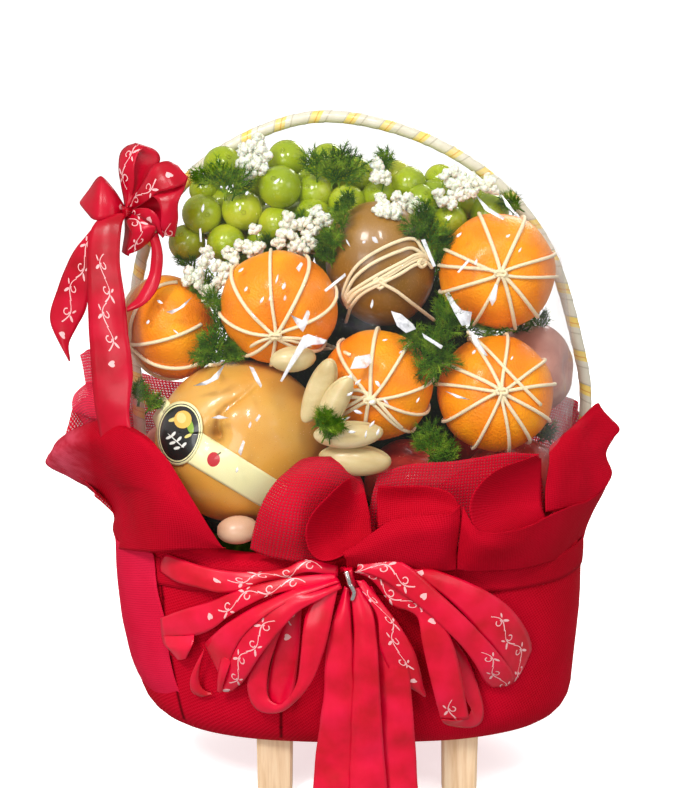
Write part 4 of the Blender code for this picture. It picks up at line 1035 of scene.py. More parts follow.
def sprig(batch, root, way, length, rng, leaves=26):
    """A feathery fern sprig: a bent stem with side stems, all set with needles."""
    way = way / np.linalg.norm(way)
    side = np.cross(way, (0.0, 1.0, 0.2))
    side /= np.linalg.norm(side)
    for branch in range(9):
        t = branch / 8
        start = root + way * length * t * 0.75
        lean = (1 if branch % 2 else -1) * rng.uniform(0.5, 1.0)
        out = way + side * lean + np.array((0.0, rng.uniform(-0.7, 0.15), 0.0))
        if branch == 8:
            out = way
        out /= np.linalg.norm(out)
        reach = length * (0.62 - 0.3 * t)
        path = curve([start, start + out * reach * 0.5 + way * 0.6, start + out * reach + way * 1.5], 7)
        tube(batch, path, 0.38, 4)
        starts, ways, lengths = [], [], []
        for _ in range(leaves):
            f = rng.uniform(0.1, 1.0)
            at_step, next_step = path[min(6, int(f * 6))], path[min(6, int(f * 6) + 1)]
            spread = np.array((rng.gauss(0, 1), rng.gauss(0, 0.8), rng.gauss(0, 1)))
            d = out * 0.9 + spread * 0.62
            starts.append(at_step + (next_step - at_step) * (f * 6 % 1))
            ways.append(d / np.linalg.norm(d))
            lengths.append(rng.uniform(3.0, 6.4))
        needles(batch, starts, ways, lengths, 0.22)
    tube(batch, curve([root - way * 3, root + way * length * 0.4, root + way * length * 0.8], 7), 0.5, 4)


def make_greens(tree):
    """Sprigs at their places in the frame, and more over the moss that shows behind."""
    rng = random.Random(11)
    batch = Batch()
    for px, py, depth, reach, lean in FERN_SPOTS:
        spot = lay(tree, px, py, 2.0, depth)
        if spot[1] > depth:
            spot = at(px, py, depth)
        size = reach * 0.65
        for _ in range(2):
            a = math.radians(lean + rng.uniform(-38, 38))
            way = np.array((math.cos(a), -0.25, math.sin(a)))
            sprig(batch, spot - way * size * 0.45, way, size, rng)
    batch.piece("fern_sprigs", plain_paint("fern"), "fern", [f"fern_tuft_{i}" for i in range(1, 11)])
    # sprigs on the moss at the sides and back, clear of the fruit and of each other
    batch, placed = Batch(), []
    fruit = [(np.array(f[0]) + SHIFT, max(f[2], f[3]) + 3.0) for f in FRUITS.values()]
    fruit += [(e.centre, float(max(e.semi))) for e in (PEAR, BROWN)]
    for _ in range(4000):
        if len(placed) == 70:
            break
        a = math.radians(rng.uniform(8, 172))
        reach = np.array((math.cos(a), math.sin(a), 0.0))
        aim = np.array((rng.uniform(-104, 104), -22.0, rng.uniform(222, 320))) + SHIFT
        hit = tree.ray_cast(Vector(aim + reach * 300.0), Vector(-reach))[0]
        if hit is None or not 200 < hit.z < 322 or hit.y < -16:
            continue
        spot = np.array(hit)
        if any(np.linalg.norm(spot - c) < r for c, r in fruit + [(q, 8.5) for q in placed]):
            continue
        placed.append(spot)
        way = reach * 0.75 + np.array((rng.uniform(-0.5, 0.5), 0.0, rng.uniform(0.2, 0.9)))
        sprig(batch, spot - reach * 1.5, way, rng.uniform(13, 18), rng, 16)
    batch.piece("fern_back", bpy.data.materials["fern_green"], "fern")


def ball(radius, detail):
    bm = bmesh.new()
    bmesh.ops.create_icosphere(bm, subdivisions=detail, radius=radius)
    verts = np.array([v.co[:] for v in bm.verts])
    faces = [[v.index for v in f.verts] for f in bm.faces]
    bm.free()
    return verts, faces


def make_flowers(tree):
    rng = random.Random(2)
    verts, faces = ball(1.0, 2)
    batch, stems = Batch(), Batch()
    spots = []
    for px, py in BLOSSOMS:
        near = -24.0 if py < 215 else -40.0
        spot = lay(tree, px, py, 4.2, near)
        spots.append(spot if spot[1] < near else at(px, py, near))
    spots += [np.array(s) + SHIFT for s in BACK_BLOSSOMS]
    for spot in spots:
        for k in range(13):
            way = np.array([rng.gauss(0, 1) for _ in range(3)])
            way /= np.linalg.norm(way)
            r = rng.uniform(1.5, 2.4)
            squash = 1 + 0.25 * np.sin(verts @ np.array((3.1, 2.3, 4.1)) * 2.0 + k)[:, None]
            batch.add(verts * r * squash + spot + way * rng.uniform(1.4, 3.4), faces)
    for a, b in zip(spots, spots[1:]):
        if np.linalg.norm(a - b) < 20:
            middle = (a + b) / 2 + np.array((0, 3.5, -2.0))
            tube(stems, curve([a + (0, 1.5, 0), middle, b + (0, 1.5, 0)], 8), 0.45, 5)
    batch.piece("blossoms", plain_paint("flower"), "flower", [f"flower_spray_{i}" for i in range(1, 6)])
    stems.piece("blossom_stems", bpy.data.materials["fern_green"], "fern")


def groove(way):
    """A pod's blunt ends and the groove along it."""
    over = way[0] + 0.25 - 0.2 * way[2] ** 2
    return 0.10 * way[2] ** 4 - 0.09 * math.exp(-(over / 0.10) ** 2)


def make_pods():
    paint = plain_paint("pod")
    for i, (centre, way, half_length, half_width, bend) in enumerate(PODS, 1):
        pod = Fruit(centre, way, half_width, half_length)
        verts, faces = globe(pod, 48, 36, groove)
        bent = []
        for v in verts:
            local = pod.turned.T @ (v - pod.centre)
            local[0] += bend * (local[2] / half_length) ** 2
            bent.append(pod.centre + pod.turned @ local)
        batch = Batch()
        batch.add(bent, faces)
        batch.piece(f"pod_{i}_shell", paint, "pod", [f"cream_pod_{i}"])


# ---- label -------------------------------------------------------------------------------------
def make_label():
    """Paper label: an egg-shaped badge and the band that runs on from it, both laid on the pear."""
    skin_of = bpy.data.objects["pear_skin"].data
    tree = BVHTree.FromPolygons([v.co / MM for v in skin_of.vertices], [f.vertices[:] for f in skin_of.polygons])

    def paper(n, m, rule, lift):
        """Lay a grid on the pear: the rule gives its frame places and print places."""
        spots, uvs = zip(*(rule(i / n, j / m) for i in range(n + 1) for j in range(m + 1)))
        places = np.array([lay(tree, px, py, 1.0, PEAR.centre[1]) for px, py in spots]).reshape(n + 1, m + 1, 3)
        for _ in range(4):
            places[1:-1] = places[1:-1] * 0.5 + (places[:-2] + places[2:]) * 0.25
            places[:, 1:-1] = places[:, 1:-1] * 0.5 + (places[:, :-2] + places[:, 2:]) * 0.25
        places[:, :, 1] -= lift
        batch.add(places, grid_faces(n + 1, m + 1), uvs)

    def strip(s, t):
        px = (190 + 100 * s) * (1 - t) + (176 + 97 * s) * t
        py = (425 + 63 * s) * (1 - t) + (456 + 58 * s) * t
        return (px, py), (100.0 + 73.0 * s, 20.0 * (0.5 - t))

    def badge(s, t):
        a, r = 2 * math.pi * s, max(t, 0.01)
        up = math.sin(a) * 32.5 * r
        over = math.cos(a) * 23.0 * r * (1 + 0.09 * math.sin(a))
        return (179.5 + over + up * 0.07, 433 - up), (over * 0.62, up * 0.62)

    batch = Batch()
    paper(50, 12, strip, 0.2)
    paper(72, 14, badge, 0.8)
    # a corner of the paper behind the badge
    corner = [(164, 395), (152.5, 418), (158, 431), (166, 412), (170, 403)]
    flat = [lay(tree, px, py, 1.0, PEAR.centre[1] + 4) for px, py in corner]
    batch.add(flat, [(0, 1, 2, 3, 4)], [(140.0, 5.0)] * 5)
    batch.piece("pear_paper", paint_label(), "label", ["pear_label"], thick=0.3)


# ---- tub, collar and feet ------------------------------------------------------------------------
FOOT_HEIGHT, TUB_TOP = 40.0, 162.0           # the tub stands between them
TUB_RIM, TUB_FLOOR = (151.0, 104.0), (139.0, 93.0)      # half axes
TUB_POWER = 2.5                              # of the outline: 2 is an ellipse, more is squarer
TUB_EDGE, TUB_SWELL, TUB_OFFSET = 20.0, 0.35, 6.0       # the floor's rounding, the sides' bulge, the floor's move


def unit(x):
    """Held between nought and one."""
    return min(1.0, max(0.0, x))


def oval(angle, semi):
    """A place on the tub's rounded outline, from its middle."""
    c, s = math.cos(angle), math.sin(angle)
    r = (abs(c / semi[0]) ** TUB_POWER + abs(s / semi[1]) ** TUB_POWER) ** (-1.0 / TUB_POWER)
    return r * c, r * s


def tub_section(z):
    """The tub's half axes at a height, and how far it is moved to the right there."""
    t = unit((z - FOOT_HEIGHT) / (TUB_TOP - FOOT_HEIGHT))
    t = min(1.0, t + TUB_SWELL * math.sin(math.pi * t))
    semi = [TUB_FLOOR[i] + (TUB_RIM[i] - TUB_FLOOR[i]) * t for i in (0, 1)]
    return semi, TUB_OFFSET * (1.0 - t)


def tub_place(angle, z, lift=0.0):
    """The place on the tub, or off it by lift, in a direction and at a height."""
    semi, shift = tub_section(z)
    edge = max(0.0, 1.0 - (z - FOOT_HEIGHT) / TUB_EDGE)
    inset = TUB_EDGE * (1.0 - math.sqrt(max(0.0, 1.0 - edge * edge)))
    x, y = oval(angle, (semi[0] - inset + lift, semi[1] - inset + lift))
    return np.array((x + shift, y, z)) + SHIFT


def front_y(x, z):
    """Y of the tub's front face, both in the row frame."""
    semi, shift = tub_section(z)
    across = min(abs(x - SHIFT[0] - shift) / semi[0], 0.985)
    return SHIFT[1] - semi[1] * (1.0 - across ** TUB_POWER) ** (1.0 / TUB_POWER)


def on_tub(px, py, lift):
    """The place standing off the tub's front by lift that shows at a spot of the frame."""
    y = -106.0
    for _ in range(8):
        p = at(px, py, y)
        y = front_y(p[0], p[2]) - lift
    return at(px, py, y)


TUB_LEVELS = (0.0, 0.6, 2, 5, 9, 14, 20, 30, 42, 55, 68, 80, 92, 104, 114, 122)   # mm up from the floor
TUB_SHADE_LINES = [                 # lines of painted shade beside the flap and under the left loops, in frame places
    [(160, 577), (163, 598), (164, 618)], [(171, 656), (177, 690), (184, 720)], [(281, 712), (281, 728), (281, 740)],
]
FLAP_EDGE = [(155, 549), (157, 560), (160, 590), (165, 622), (169, 656), (176, 690), (184, 722), (190, 733)]


def make_tub():
    # lines of painted shade beside the flap's edge and under the left loops
    creases = [(on_tub(*a, 0.5), on_tub(*b, 0.5)) for line in TUB_SHADE_LINES for a, b in zip(line, line[1:])]
    paint = paint_cloth("mesh_cloth", (180, 0, 20), (204, 0, 36), 0.0, 1.9, 0.6, creases=creases)
    batch = Batch()
    sides = 240
    verts, uvs = [], []
    for h in TUB_LEVELS:
        z = FOOT_HEIGHT + h
        for i in range(sides):
            a = 2 * math.pi * i / sides
            fold = 0.6 * math.sin(31 * a + 2 * math.sin(3 * a)) * math.exp(-(TUB_TOP - z) / 26.0)
            soft = 1.1 * noise.noise(Vector((math.cos(a) * 2.4, math.sin(a) * 2.4, z / 42.0)))
            place = tub_place(a, z, fold + soft * min(1.0, (TUB_TOP - z) / 40.0) + 0.2)
            place[2] -= 5.0 * max(0.0, 1.0 - h / 60.0) ** 2
            verts.append(place)
            uvs.append((a * 128.0, z + 0.12 * place[0]))
    faces = grid_faces(len(TUB_LEVELS), sides, close=True)
    under, top, last = len(verts), len(verts) + 1, len(verts) - sides
    verts += [SHIFT + (TUB_OFFSET, 0.0, FOOT_HEIGHT - 4.0), SHIFT + (0.0, 0.0, TUB_TOP - 1.0)]
    uvs += [(0.0, 0.0)] * 2
    faces += [(under, (i + 1) % sides, i) for i in range(sides)]
    faces += [(top, last + i, last + (i + 1) % sides) for i in range(sides)]
    batch.add(verts, faces, uvs)
    batch.piece("tub_cloth", paint, "cloth", ["wrapped_tub"])
    # an overlapping flap at the left corner
    right = [on_tub(x, y, 2.0) for x, y in FLAP_EDGE]
    rows = []
    for t in np.linspace(0, 1, 9):
        row = []
        for p in right:
            z = min(max(p[2], FOOT_HEIGHT + 1.5), TUB_TOP - 2)
            start = math.atan2(p[1] - SHIFT[1], p[0] - SHIFT[0]) % (2 * math.pi)
            angle = start + (math.radians(176) - start) * (1 - t)
            lift = 1.5 + (0.4 + 1.2 * t) * unit((z - 128.0) / 9.0)
            row.append(tub_place(angle, z - 5.0 * (1 - t) * unit((z - 130.0) / 20.0), lift))
        rows.append(row)
    sheet = ripple(skin(rows, 60, 40), 30.0, 1.0, 3.0)
    batch = Batch()
    batch.add(sheet, grid_faces(40, 60), skin_uv(sheet))
    paint = paint_cloth("flap_cloth", (212, 10, 50), (230, 32, 72), 0.0, 1.5, 0.2)
    flap = batch.piece("tub_flap", paint, "cloth", thick=0.5)


def paint_node(name, kind):
    """Give a CAD node that shows as it is a plain paint."""
    materials = NODES[name].data.materials
    materials.clear()
    materials.append(bpy.data.materials.get(PLAIN_PAINTS[kind][0]) or plain_paint(kind))


BACK_PROFILE = [                # direction in degrees, height of the edge, reach past the rim
    (-14, 60, 12), (0, 66, 10), (14, 62, 20), (40, 66, 30), (65, 62, 24), (90, 68, 28), (115, 62, 24),
    (140, 70, 32), (162, 88, 30), (172, 70, 30), (180, 36, 40), (190, 20, 20),
]
# Each piece of the collar: name, paint, thickness, flat size in metres, how it is held, what it rests on, layers.
# Each layer: places along and across, the ripple's size, amount and seed, rows of (frame x, frame y, depth).
FOLDS = [
    ("ruffle_swath", "swath", 0.3, (0.090, 0.133), "draped", "tub_cloth", [
        # left wing: a rolled lobe that comes forward under the tail
        (80, 50, 26.0, 2.0, 1.0, [
            [(117, 547, -4), (121, 549, -52), (149, 552, -92), (186, 550, -106), (226, 549, -112)],
            [(114, 530, -12), (124, 528, -58), (150, 522, -98), (184, 526, -114), (221, 546, -114)],
            [(115, 514, -14), (124, 500, -60), (148, 494, -98), (176, 500, -114), (206, 522, -116)],
            [(100, 492, -12), (112, 484, -52), (136, 484, -88), (160, 476, -104), (188, 492, -112)],
            [(72, 479, -4), (90, 466, -38), (112, 452, -72), (136, 440, -88), (166, 458, -102)],
            [(47, 465, 6), (62, 450, -22), (90, 438, -54), (118, 426, -70), (150, 440, -88)],
            [(47, 455, 12), (60, 438, -6), (82, 426, -30), (106, 420, -50), (128, 424, -66)],
        ]),
    ]),
    ("ruffle_wing", "wing", 0.3, (0.060, 0.131), "draped", "ruffle_swath", [
        # the two lobes above it
        (50, 40, 20.0, 1.6, 4.0, [
            [(108, 500, 18), (118, 496, -10), (130, 492, -36), (140, 488, -52)],
            [(84, 424, 12), (96, 430, -8), (112, 434, -30), (128, 440, -46)],
            [(73, 410, 14), (82, 412, -4), (98, 418, -26), (114, 424, -40)],
            [(74, 396, 18), (82, 392, 4), (94, 398, -14), (108, 408, -30)],
            [(86, 384, 26), (90, 382, 14), (98, 386, 0), (108, 396, -18)],
        ]),
        (40, 30, 16.0, 1.6, 14.0, [
            [(92, 420, 26), (102, 424, 8), (116, 428, -10), (126, 432, -24)],
            [(86, 384, 26), (96, 386, 10), (108, 390, -8), (120, 396, -22)],
            [(79, 355, 30), (90, 349, 16), (102, 352, 0), (116, 362, -14)],
        ]),
    ]),
    ("ruffle_sheer", "inner", 0.3, (0.055, 0.110), "gathered", "tub_cloth", [
        # the long back layer that shows behind the front folds
        (70, 26, 18.0, 1.2, 2.0, [
            [(366, 545, -97), (400, 548, -98), (450, 548, -97), (500, 546, -94), (545, 540, -82)],
            [(370, 505, -97), (405, 500, -98), (452, 500, -97), (505, 498, -94), (543, 495, -83)],
            [(378, 474, -97), (411, 464, -98), (456, 461, -98), (506, 453, -96), (539, 454, -87)],
        ]),
    ]),
    ("ruffle_loop_sheer", "inner", 0.3, (0.065, 0.068), "folded", "tub_cloth", [
        # first loop: the arched petal behind
        (60, 46, 20.0, 1.0, 5.0, [
            [(250, 549, -108), (268, 557, -112), (290, 561, -116), (312, 562, -112), (334, 562, -104)],
            [(253, 530, -112), (272, 534, -120), (296, 536, -122), (316, 536, -112), (344, 530, -98)],
            [(260, 508, -114), (278, 508, -122), (300, 508, -122), (322, 508, -112), (362, 506, -97)],
            [(276, 481, -112), (290, 482, -118), (308, 482, -118), (334, 482, -112), (365, 490, -98)],
            [(292, 466, -106), (304, 464, -112), (318, 463, -113), (340, 466, -109), (360, 476, -99)],
            [(302, 460, -98), (312, 457, -104), (324, 456, -106), (337, 457, -103), (351, 465, -98)],
        ]),
    ]),
    ("ruffle_front", "front", 0.4, (0.075, 0.245), "gathered", "tub_cloth", [
        # first loop: its rolled opening
        (80, 34, 22.0, 0.5, 6.0, [
            [(349, 478, -112), (340, 485, -121), (329, 495, -128), (316, 509, -131), (308, 523, -132),
             (306, 536, -132), (309, 549, -131), (316, 558, -130), (326, 561, -129), (340, 557, -128),
             (354, 547, -126)],
            [(354, 479, -108), (348, 487, -111), (338, 500, -114), (328, 512, -116), (322, 524, -117),
             (321, 535, -118), (323, 545, -120), (328, 553, -123), (335, 556, -125), (345, 553, -126),
             (356, 545, -124)],
            [(359, 482, -105), (356, 491, -105), (351, 503, -105), (346, 514, -105), (344, 525, -106),
             (344, 535, -108), (345, 543, -112), (348, 549, -117), (351, 551, -121), (355, 548, -122),
             (360, 543, -121)],
            [(364, 488, -104), (366, 496, -105), (368, 506, -106), (370, 516, -107), (371, 526, -108),
             (372, 534, -110), (372, 539, -113), (371, 542, -116), (369, 542, -118), (367, 541, -119),
             (366, 540, -119)],
        ]),
        # second fold: the inside layer
        (50, 20, 16.0, 0.6, 7.0, [
            [(378, 486, -111), (404, 486, -113), (431, 487, -114), (450, 493, -116), (459, 505, -118)],
            [(377, 502, -109), (402, 501, -109), (428, 501, -111), (447, 504, -114), (459, 508, -118)],
            [(378, 528, -112), (402, 521, -114), (430, 518, -117), (448, 516, -118), (459, 511, -119)],
        ]),
        # second fold: the front swath under its rim
        (70, 30, 18.0, 0.9, 8.0, [
            [(342, 553, -127), (356, 545, -128), (372, 533, -129), (387, 523, -129), (404, 517, -129),
             (430, 515, -129), (450, 513, -127), (461, 504, -121)],
            [(344, 557, -127), (360, 553, -129), (378, 546, -131), (396, 538, -132), (414, 534, -132),
             (436, 533, -131), (450, 532, -127), (460, 526, -122)],
            [(346, 560, -124), (362, 561, -126), (382, 561, -127), (402, 560, -127), (422, 560, -125),
             (440, 560, -122), (450, 558, -118), (457, 552, -114)],
            [(346, 566, -119), (364, 570, -118), (384, 572, -117), (404, 573, -116), (424, 573, -115),
             (440, 572, -114), (450, 571, -112), (456, 570, -110)],
        ]),
        # third loop: the wide open oval
        (80, 26, 24.0, 0.6, 9.0, [
            [(537, 455, -100), (515, 463, -113), (494, 472, -121), (478, 486, -125), (470, 504, -126),
             (473, 524, -125), (485, 534, -123), (503, 537, -118)],
            [(540, 458, -92), (524, 468, -100), (510, 479, -104), (500, 491, -106), (496, 503, -108),
             (500, 515, -109), (510, 524, -108), (524, 533, -104)],
            [(541, 458, -88), (541, 470, -88), (541, 480, -89), (541, 490, -90), (541, 500, -91), (542, 508, -93),
             (544, 514, -93), (549, 522, -92)],
        ]),
        # third loop: the cloth under its rim, running out to the right wing
        (100, 36, 26.0, 1.0, 10.0, [
            [(463, 506, -122), (474, 526, -126), (485, 532, -125), (502, 532, -122), (528, 526, -110),
             (549, 515, -98), (571, 506, -80), (589, 500, -62), (604, 488, -48), (612, 472, -38)],
            [(461, 526, -123), (472, 542, -125), (486, 547, -124), (504, 547, -119), (528, 542, -106),
             (550, 534, -91), (568, 526, -72), (582, 520, -52), (594, 508, -36), (602, 496, -26)],
            [(458, 550, -116), (470, 560, -117), (486, 562, -115), (504, 561, -110), (526, 558, -100),
             (548, 553, -84), (564, 547, -66), (576, 541, -46), (584, 532, -28), (588, 522, -14)],
            [(457, 570, -110), (470, 571, -110), (486, 571, -108), (504, 570, -104), (526, 567, -95), (548, 562, -80),
             (562, 557, -62), (573, 552, -44), (580, 546, -26), (583, 540, -10)],
        ]),
        # right wing above the third loop
        (60, 50, 20.0, 1.0, 11.0, [
            [(545, 512, -92), (560, 510, -84), (576, 506, -72), (590, 500, -60), (606, 486, -48)],
            [(545, 488, -90), (560, 486, -84), (576, 482, -72), (592, 480, -58), (612, 472, -42)],
            [(549, 462, -86), (561, 458, -80), (577, 454, -68), (592, 452, -54), (606, 454, -40)],
            [(550, 446, -76), (564, 436, -68), (580, 430, -58), (594, 432, -44), (614, 438, -32)],
            [(560, 439, -64), (572, 427, -56), (584, 418, -46), (600, 414, -36), (619, 428, -26)],
            [(576, 426, -50), (584, 416, -44), (592, 407, -38), (599, 403, -32), (602, 412, -26)],
        ]),
    ]),
]


def make_collar():
    """The ruffle: a ring behind and at the sides, and the folds that show at the front."""
    paints = {
        "inner": paint_cloth("ruffle_cloth", (178, 0, 24), (204, 4, 40), 0.45, 1.9),
        # the wing's cloth is a paler pink copy of the red cloth: painted light showing through it, besides its real
        # holes
        "wing": paint_cloth("ruffle_wing_cloth", (226, 22, 56), (248, 64, 96), 0.62, 1.9),
        "swath": paint_cloth("ruffle_swath_cloth", (166, 0, 18), (188, 0, 30), 0.0, 1.5, pale=-148.0),
        "front": paint_cloth("ruffle_front_cloth", (172, 0, 20), (194, 0, 32), 0.0, 1.3),
    }
    batch = Batch()
    columns, rows = 260, 15
    verts = np.zeros((rows, columns, 3))
    for i in range(columns):
        degrees = -12 + 200 * i / (columns - 1)
        for (a, high_a, out_a), (b, high_b, out_b) in zip(BACK_PROFILE, BACK_PROFILE[1:]):
            if a <= degrees <= b:
                t = (degrees - a) / (b - a)
                t = t * t * (3 - 2 * t)
                high, out = high_a + (high_b - high_a) * t, out_a + (out_b - out_a) * t
        angle = math.radians(degrees)
        x, y = oval(angle, TUB_RIM)
        outward = np.array((x / TUB_RIM[0] ** 2, y / TUB_RIM[1] ** 2, 0.0))
        outward /= np.linalg.norm(outward)
        wave = math.sin(17 * angle) + 0.35 * math.sin(34 * angle + 1.2)
        for j in range(rows):
            v = j / (rows - 1)
            reach = out * v ** 1.3 + 6.5 * wave * v ** 0.7 - 1.0
            verts[j, i] = np.array((x, y, TUB_TOP - 1.0 + high * v)) + outward * reach + SHIFT
    verts = ripple(verts, 22.0, 2.0)
    batch.add(verts, grid_faces(rows, columns), skin_uv(verts))
    ring = batch.piece("ruffle_back", paints["inner"], "cloth", ["collar"], thick=0.4)
    for name, paint, thick, flat, held, rests, layers in FOLDS:
        batch = Batch()
        for along, across, size, amount, seed, rows in layers:
            surface = ripple(skin([[at(*p) for p in row] for row in rows], along, across), size, amount, seed)
            batch.add(surface, grid_faces(across, along), skin_uv(surface))
        batch.piece(name, paints[paint], "cloth", thick=thick)


# ---- handle ------------------------------------------------------------------------------------
ARCH = [                        # the handle's middle line, x and z
    (-136, 163), (-139, 225), (-141, 290), (-130, 347), (-99, 388), (-56, 414), (-11, 423),
    (46, 410), (95, 380), (129, 336), (149, 275), (155, 230), (146, 163),
]


def make_handle():
    places = [np.array((x, 16.0, z)) + SHIFT for x, z in ARCH]
    path = curve(places, 420)
    along = np.gradient(path, axis=0)
    along /= np.linalg.norm(along, axis=1, keepdims=True)
    side = np.array((0.0, 1.0, 0.0))
    u = arc_length(path)
    batch, sides = Batch(), 24
    verts, uvs = [], []
    for i, p in enumerate(path):
        up = np.cross(along[i], side)
        for k in range(sides + 1):
            a = 2 * math.pi * k / sides
            turn = (u[i] / TAPE_PITCH + k / sides) % 1.0
            r = 3.95 + 0.28 * (turn - 0.5) + 0.06 * math.sin(u[i] * 0.7)
            verts.append(p + r * (math.cos(a) * side + math.sin(a) * up))
            uvs.append((u[i], k / sides))
    batch.add(verts, grid_faces(len(path), sides + 1), uvs)
    batch.piece("handle_tape", paint_tape(), "wrap", ["handle"])


# ---- ribbons -----------------------------------------------------------------------------------
FRONT_BANDS = [                 # two edges of each ribbon: frame x, frame y, lift off the tub
    # far left, upper: out along the waist, round at its end and back underneath
    ([(338, 566, 11), (314, 560, 11), (301, 561, 11), (284, 569, 11), (246, 572, 9), (221, 570, 8), (199, 565, 7),
     (178, 558, 6), (166, 554, 4), (160, 560, 2)], [(338, 576, 12), (314, 572, 13), (301, 573, 13), (288, 577, 13),
     (263, 582, 12), (242, 591, 12), (222, 593, 11), (199, 588, 10), (177, 582, 8), (159, 571, 3)]),
    # far left, second strand, and its folded end
    ([(336, 574, 13), (312, 575, 15), (286, 578, 16), (256, 585, 15), (231, 593, 14), (209, 602, 11), (182, 610, 8),
     (161, 618, 4)], [(338, 582, 14), (316, 586, 17), (292, 590, 18), (268, 596, 18), (247, 606, 17), (228, 617, 15),
     (212, 629, 12), (193, 636, 8), (162, 637, 3)]),
    ([(162, 636, 3), (164, 644, 6), (168, 649, 8), (177, 660, 8)], [(194, 635, 8), (193, 642, 12), (190, 650, 13),
     (186, 658, 10)]),
    # third strand: a broad one, dark above its bright fold
    ([(338, 578, 15), (312, 584, 17), (286, 592, 18), (254, 607, 17), (228, 623, 14), (212, 636, 11), (205, 643, 7)],
     [(340, 582, 17), (318, 590, 21), (292, 600, 22), (264, 617, 21), (243, 636, 18), (231, 658, 14), (224, 686, 8)]),
    ([(340, 582, 16), (314, 592, 20), (290, 597, 21), (262, 616, 20), (241, 636, 17), (230, 661, 13), (219, 690, 7)],
     [(342, 588, 17), (322, 598, 22), (298, 612, 23), (279, 632, 21), (260, 656, 18), (246, 678, 13), (232, 692, 7)]),
    ([(222, 656, 12), (219, 668, 12), (217, 680, 11), (217, 691, 8)], [(232, 660, 13), (228, 670, 14), (224, 682, 12),
     (222, 692, 8)]),
    # thin crescent at the lower left
    ([(204, 649, 8), (197, 662, 9), (191, 676, 9), (190, 686, 8), (193, 693, 6), (202, 697, 4), (212, 694, 3)],
     [(203, 656, 7), (201, 666, 7), (199, 676, 7), (200, 684, 6), (204, 690, 5), (208, 692, 4), (213, 693, 3)]),
    # hanging loop: its back part, then its front part round the opening
    ([(302, 608, 6), (299, 650, 5), (294, 690, 5), (286, 705, 7)], [(284, 608, 6), (274, 650, 5), (267, 690, 5),
     (273, 705, 7)]),
    ([(338, 588, 18), (333, 612, 20), (329, 632, 21), (324, 652, 21), (314, 678, 20), (300, 697, 18), (284, 711, 14),
     (269, 714, 11), (256, 709, 9), (249, 696, 8), (248, 677, 9), (257, 652, 10), (268, 630, 10)], [(318, 592, 17),
     (307, 612, 18), (303, 632, 20), (301, 652, 21), (298, 678, 19), (292, 693, 18), (286, 700, 16), (279, 704, 13),
     (272, 702, 12), (267, 692, 10), (269, 668, 10), (276, 644, 11), (284, 624, 11)]),
    # right, outer strand
    ([(360, 566, 11), (392, 561, 12), (415, 565, 13), (445, 573, 14), (481, 588, 13), (507, 605, 11), (524, 626, 8),
     (531, 647, 4), (526, 664, 2)], [(358, 572, 12), (386, 570, 14), (408, 575, 16), (430, 585, 17), (456, 606, 16),
     (481, 634, 14), (498, 654, 11), (508, 672, 6), (512, 684, 3)]),
    # right, second strand
    ([(358, 562, 16), (379, 560, 19), (395, 560, 20), (413, 569, 20), (445, 598, 19), (474, 626, 17), (500, 655, 13),
     (514, 675, 8), (512, 684, 4)], [(356, 572, 17), (368, 574, 20), (384, 581, 21), (400, 592, 21), (427, 613, 20),
     (456, 640, 18), (475, 664, 14), (484, 681, 8), (492, 688, 4)]),
    # right hanging loop: drawn in at the knot, down the front, and its back part behind
    ([(354, 572, 14), (372, 580, 16), (392, 605, 17), (408, 611, 18), (418, 619, 18), (422, 642, 19), (427, 665, 18),
     (434, 694, 17), (441, 720, 13)], [(358, 568, 14), (380, 577, 17), (402, 590, 18), (424, 604, 18), (441, 618, 18),
     (452, 641, 18), (459, 664, 17), (464, 690, 16), (469, 719, 13)]),
    ([(441, 719, 13), (446, 724, 11), (460, 727, 9), (475, 727, 8), (483, 718, 6), (480, 692, 5), (468, 660, 4),
     (454, 638, 4)], [(468, 718, 13), (469, 716, 12), (470, 712, 10), (470, 708, 9), (466, 700, 7), (460, 684, 6),
     (452, 660, 4), (446, 642, 4)]),
    # short tail over the centre ones
    ([(356, 580, 16), (364, 594, 19), (377, 615, 20), (379, 634, 20), (381, 652, 19), (394, 676, 17), (414, 690, 13),
     (425, 697, 9)], [(364, 580, 16), (382, 602, 18), (400, 626, 18), (413, 648, 17), (418, 662, 16), (421, 674, 14),
     (423, 684, 12), (426, 694, 9)]),
]
FRONT_TAILS = [
    ([(344, 586, 14), (337, 610, 15), (330, 632, 16), (326, 652, 16), (324, 690, 16), (320, 722, 16), (316, 752, 15),
     (313, 785, 14), (311, 806, 14)], [(350, 588, 14), (351, 612, 16), (353, 640, 17), (354, 665, 18), (355, 695, 18),
     (355, 722, 18), (355, 752, 17), (354, 785, 16), (350, 812, 16)]),
    ([(351, 588, 16), (353, 612, 18), (354, 640, 19), (353, 670, 19), (352, 700, 19), (351, 725, 19), (350, 752, 18),
     (349, 785, 17), (349, 810, 17)], [(362, 586, 15), (371, 606, 18), (376, 630, 20), (378, 655, 21), (380, 690, 21),
     (382, 722, 21), (384, 752, 20), (387, 785, 18), (388, 804, 18)]),
    ([(362, 588, 13), (371, 608, 14), (375, 632, 15), (376, 655, 15), (377, 690, 15), (379, 722, 15), (381, 752, 15),
     (384, 785, 14), (385, 808, 14)], [(372, 586, 13), (392, 620, 15), (404, 648, 16), (409, 672, 17), (412, 700, 17),
     (414, 726, 17), (416, 752, 16), (418, 785, 15), (420, 798, 15)]),
]
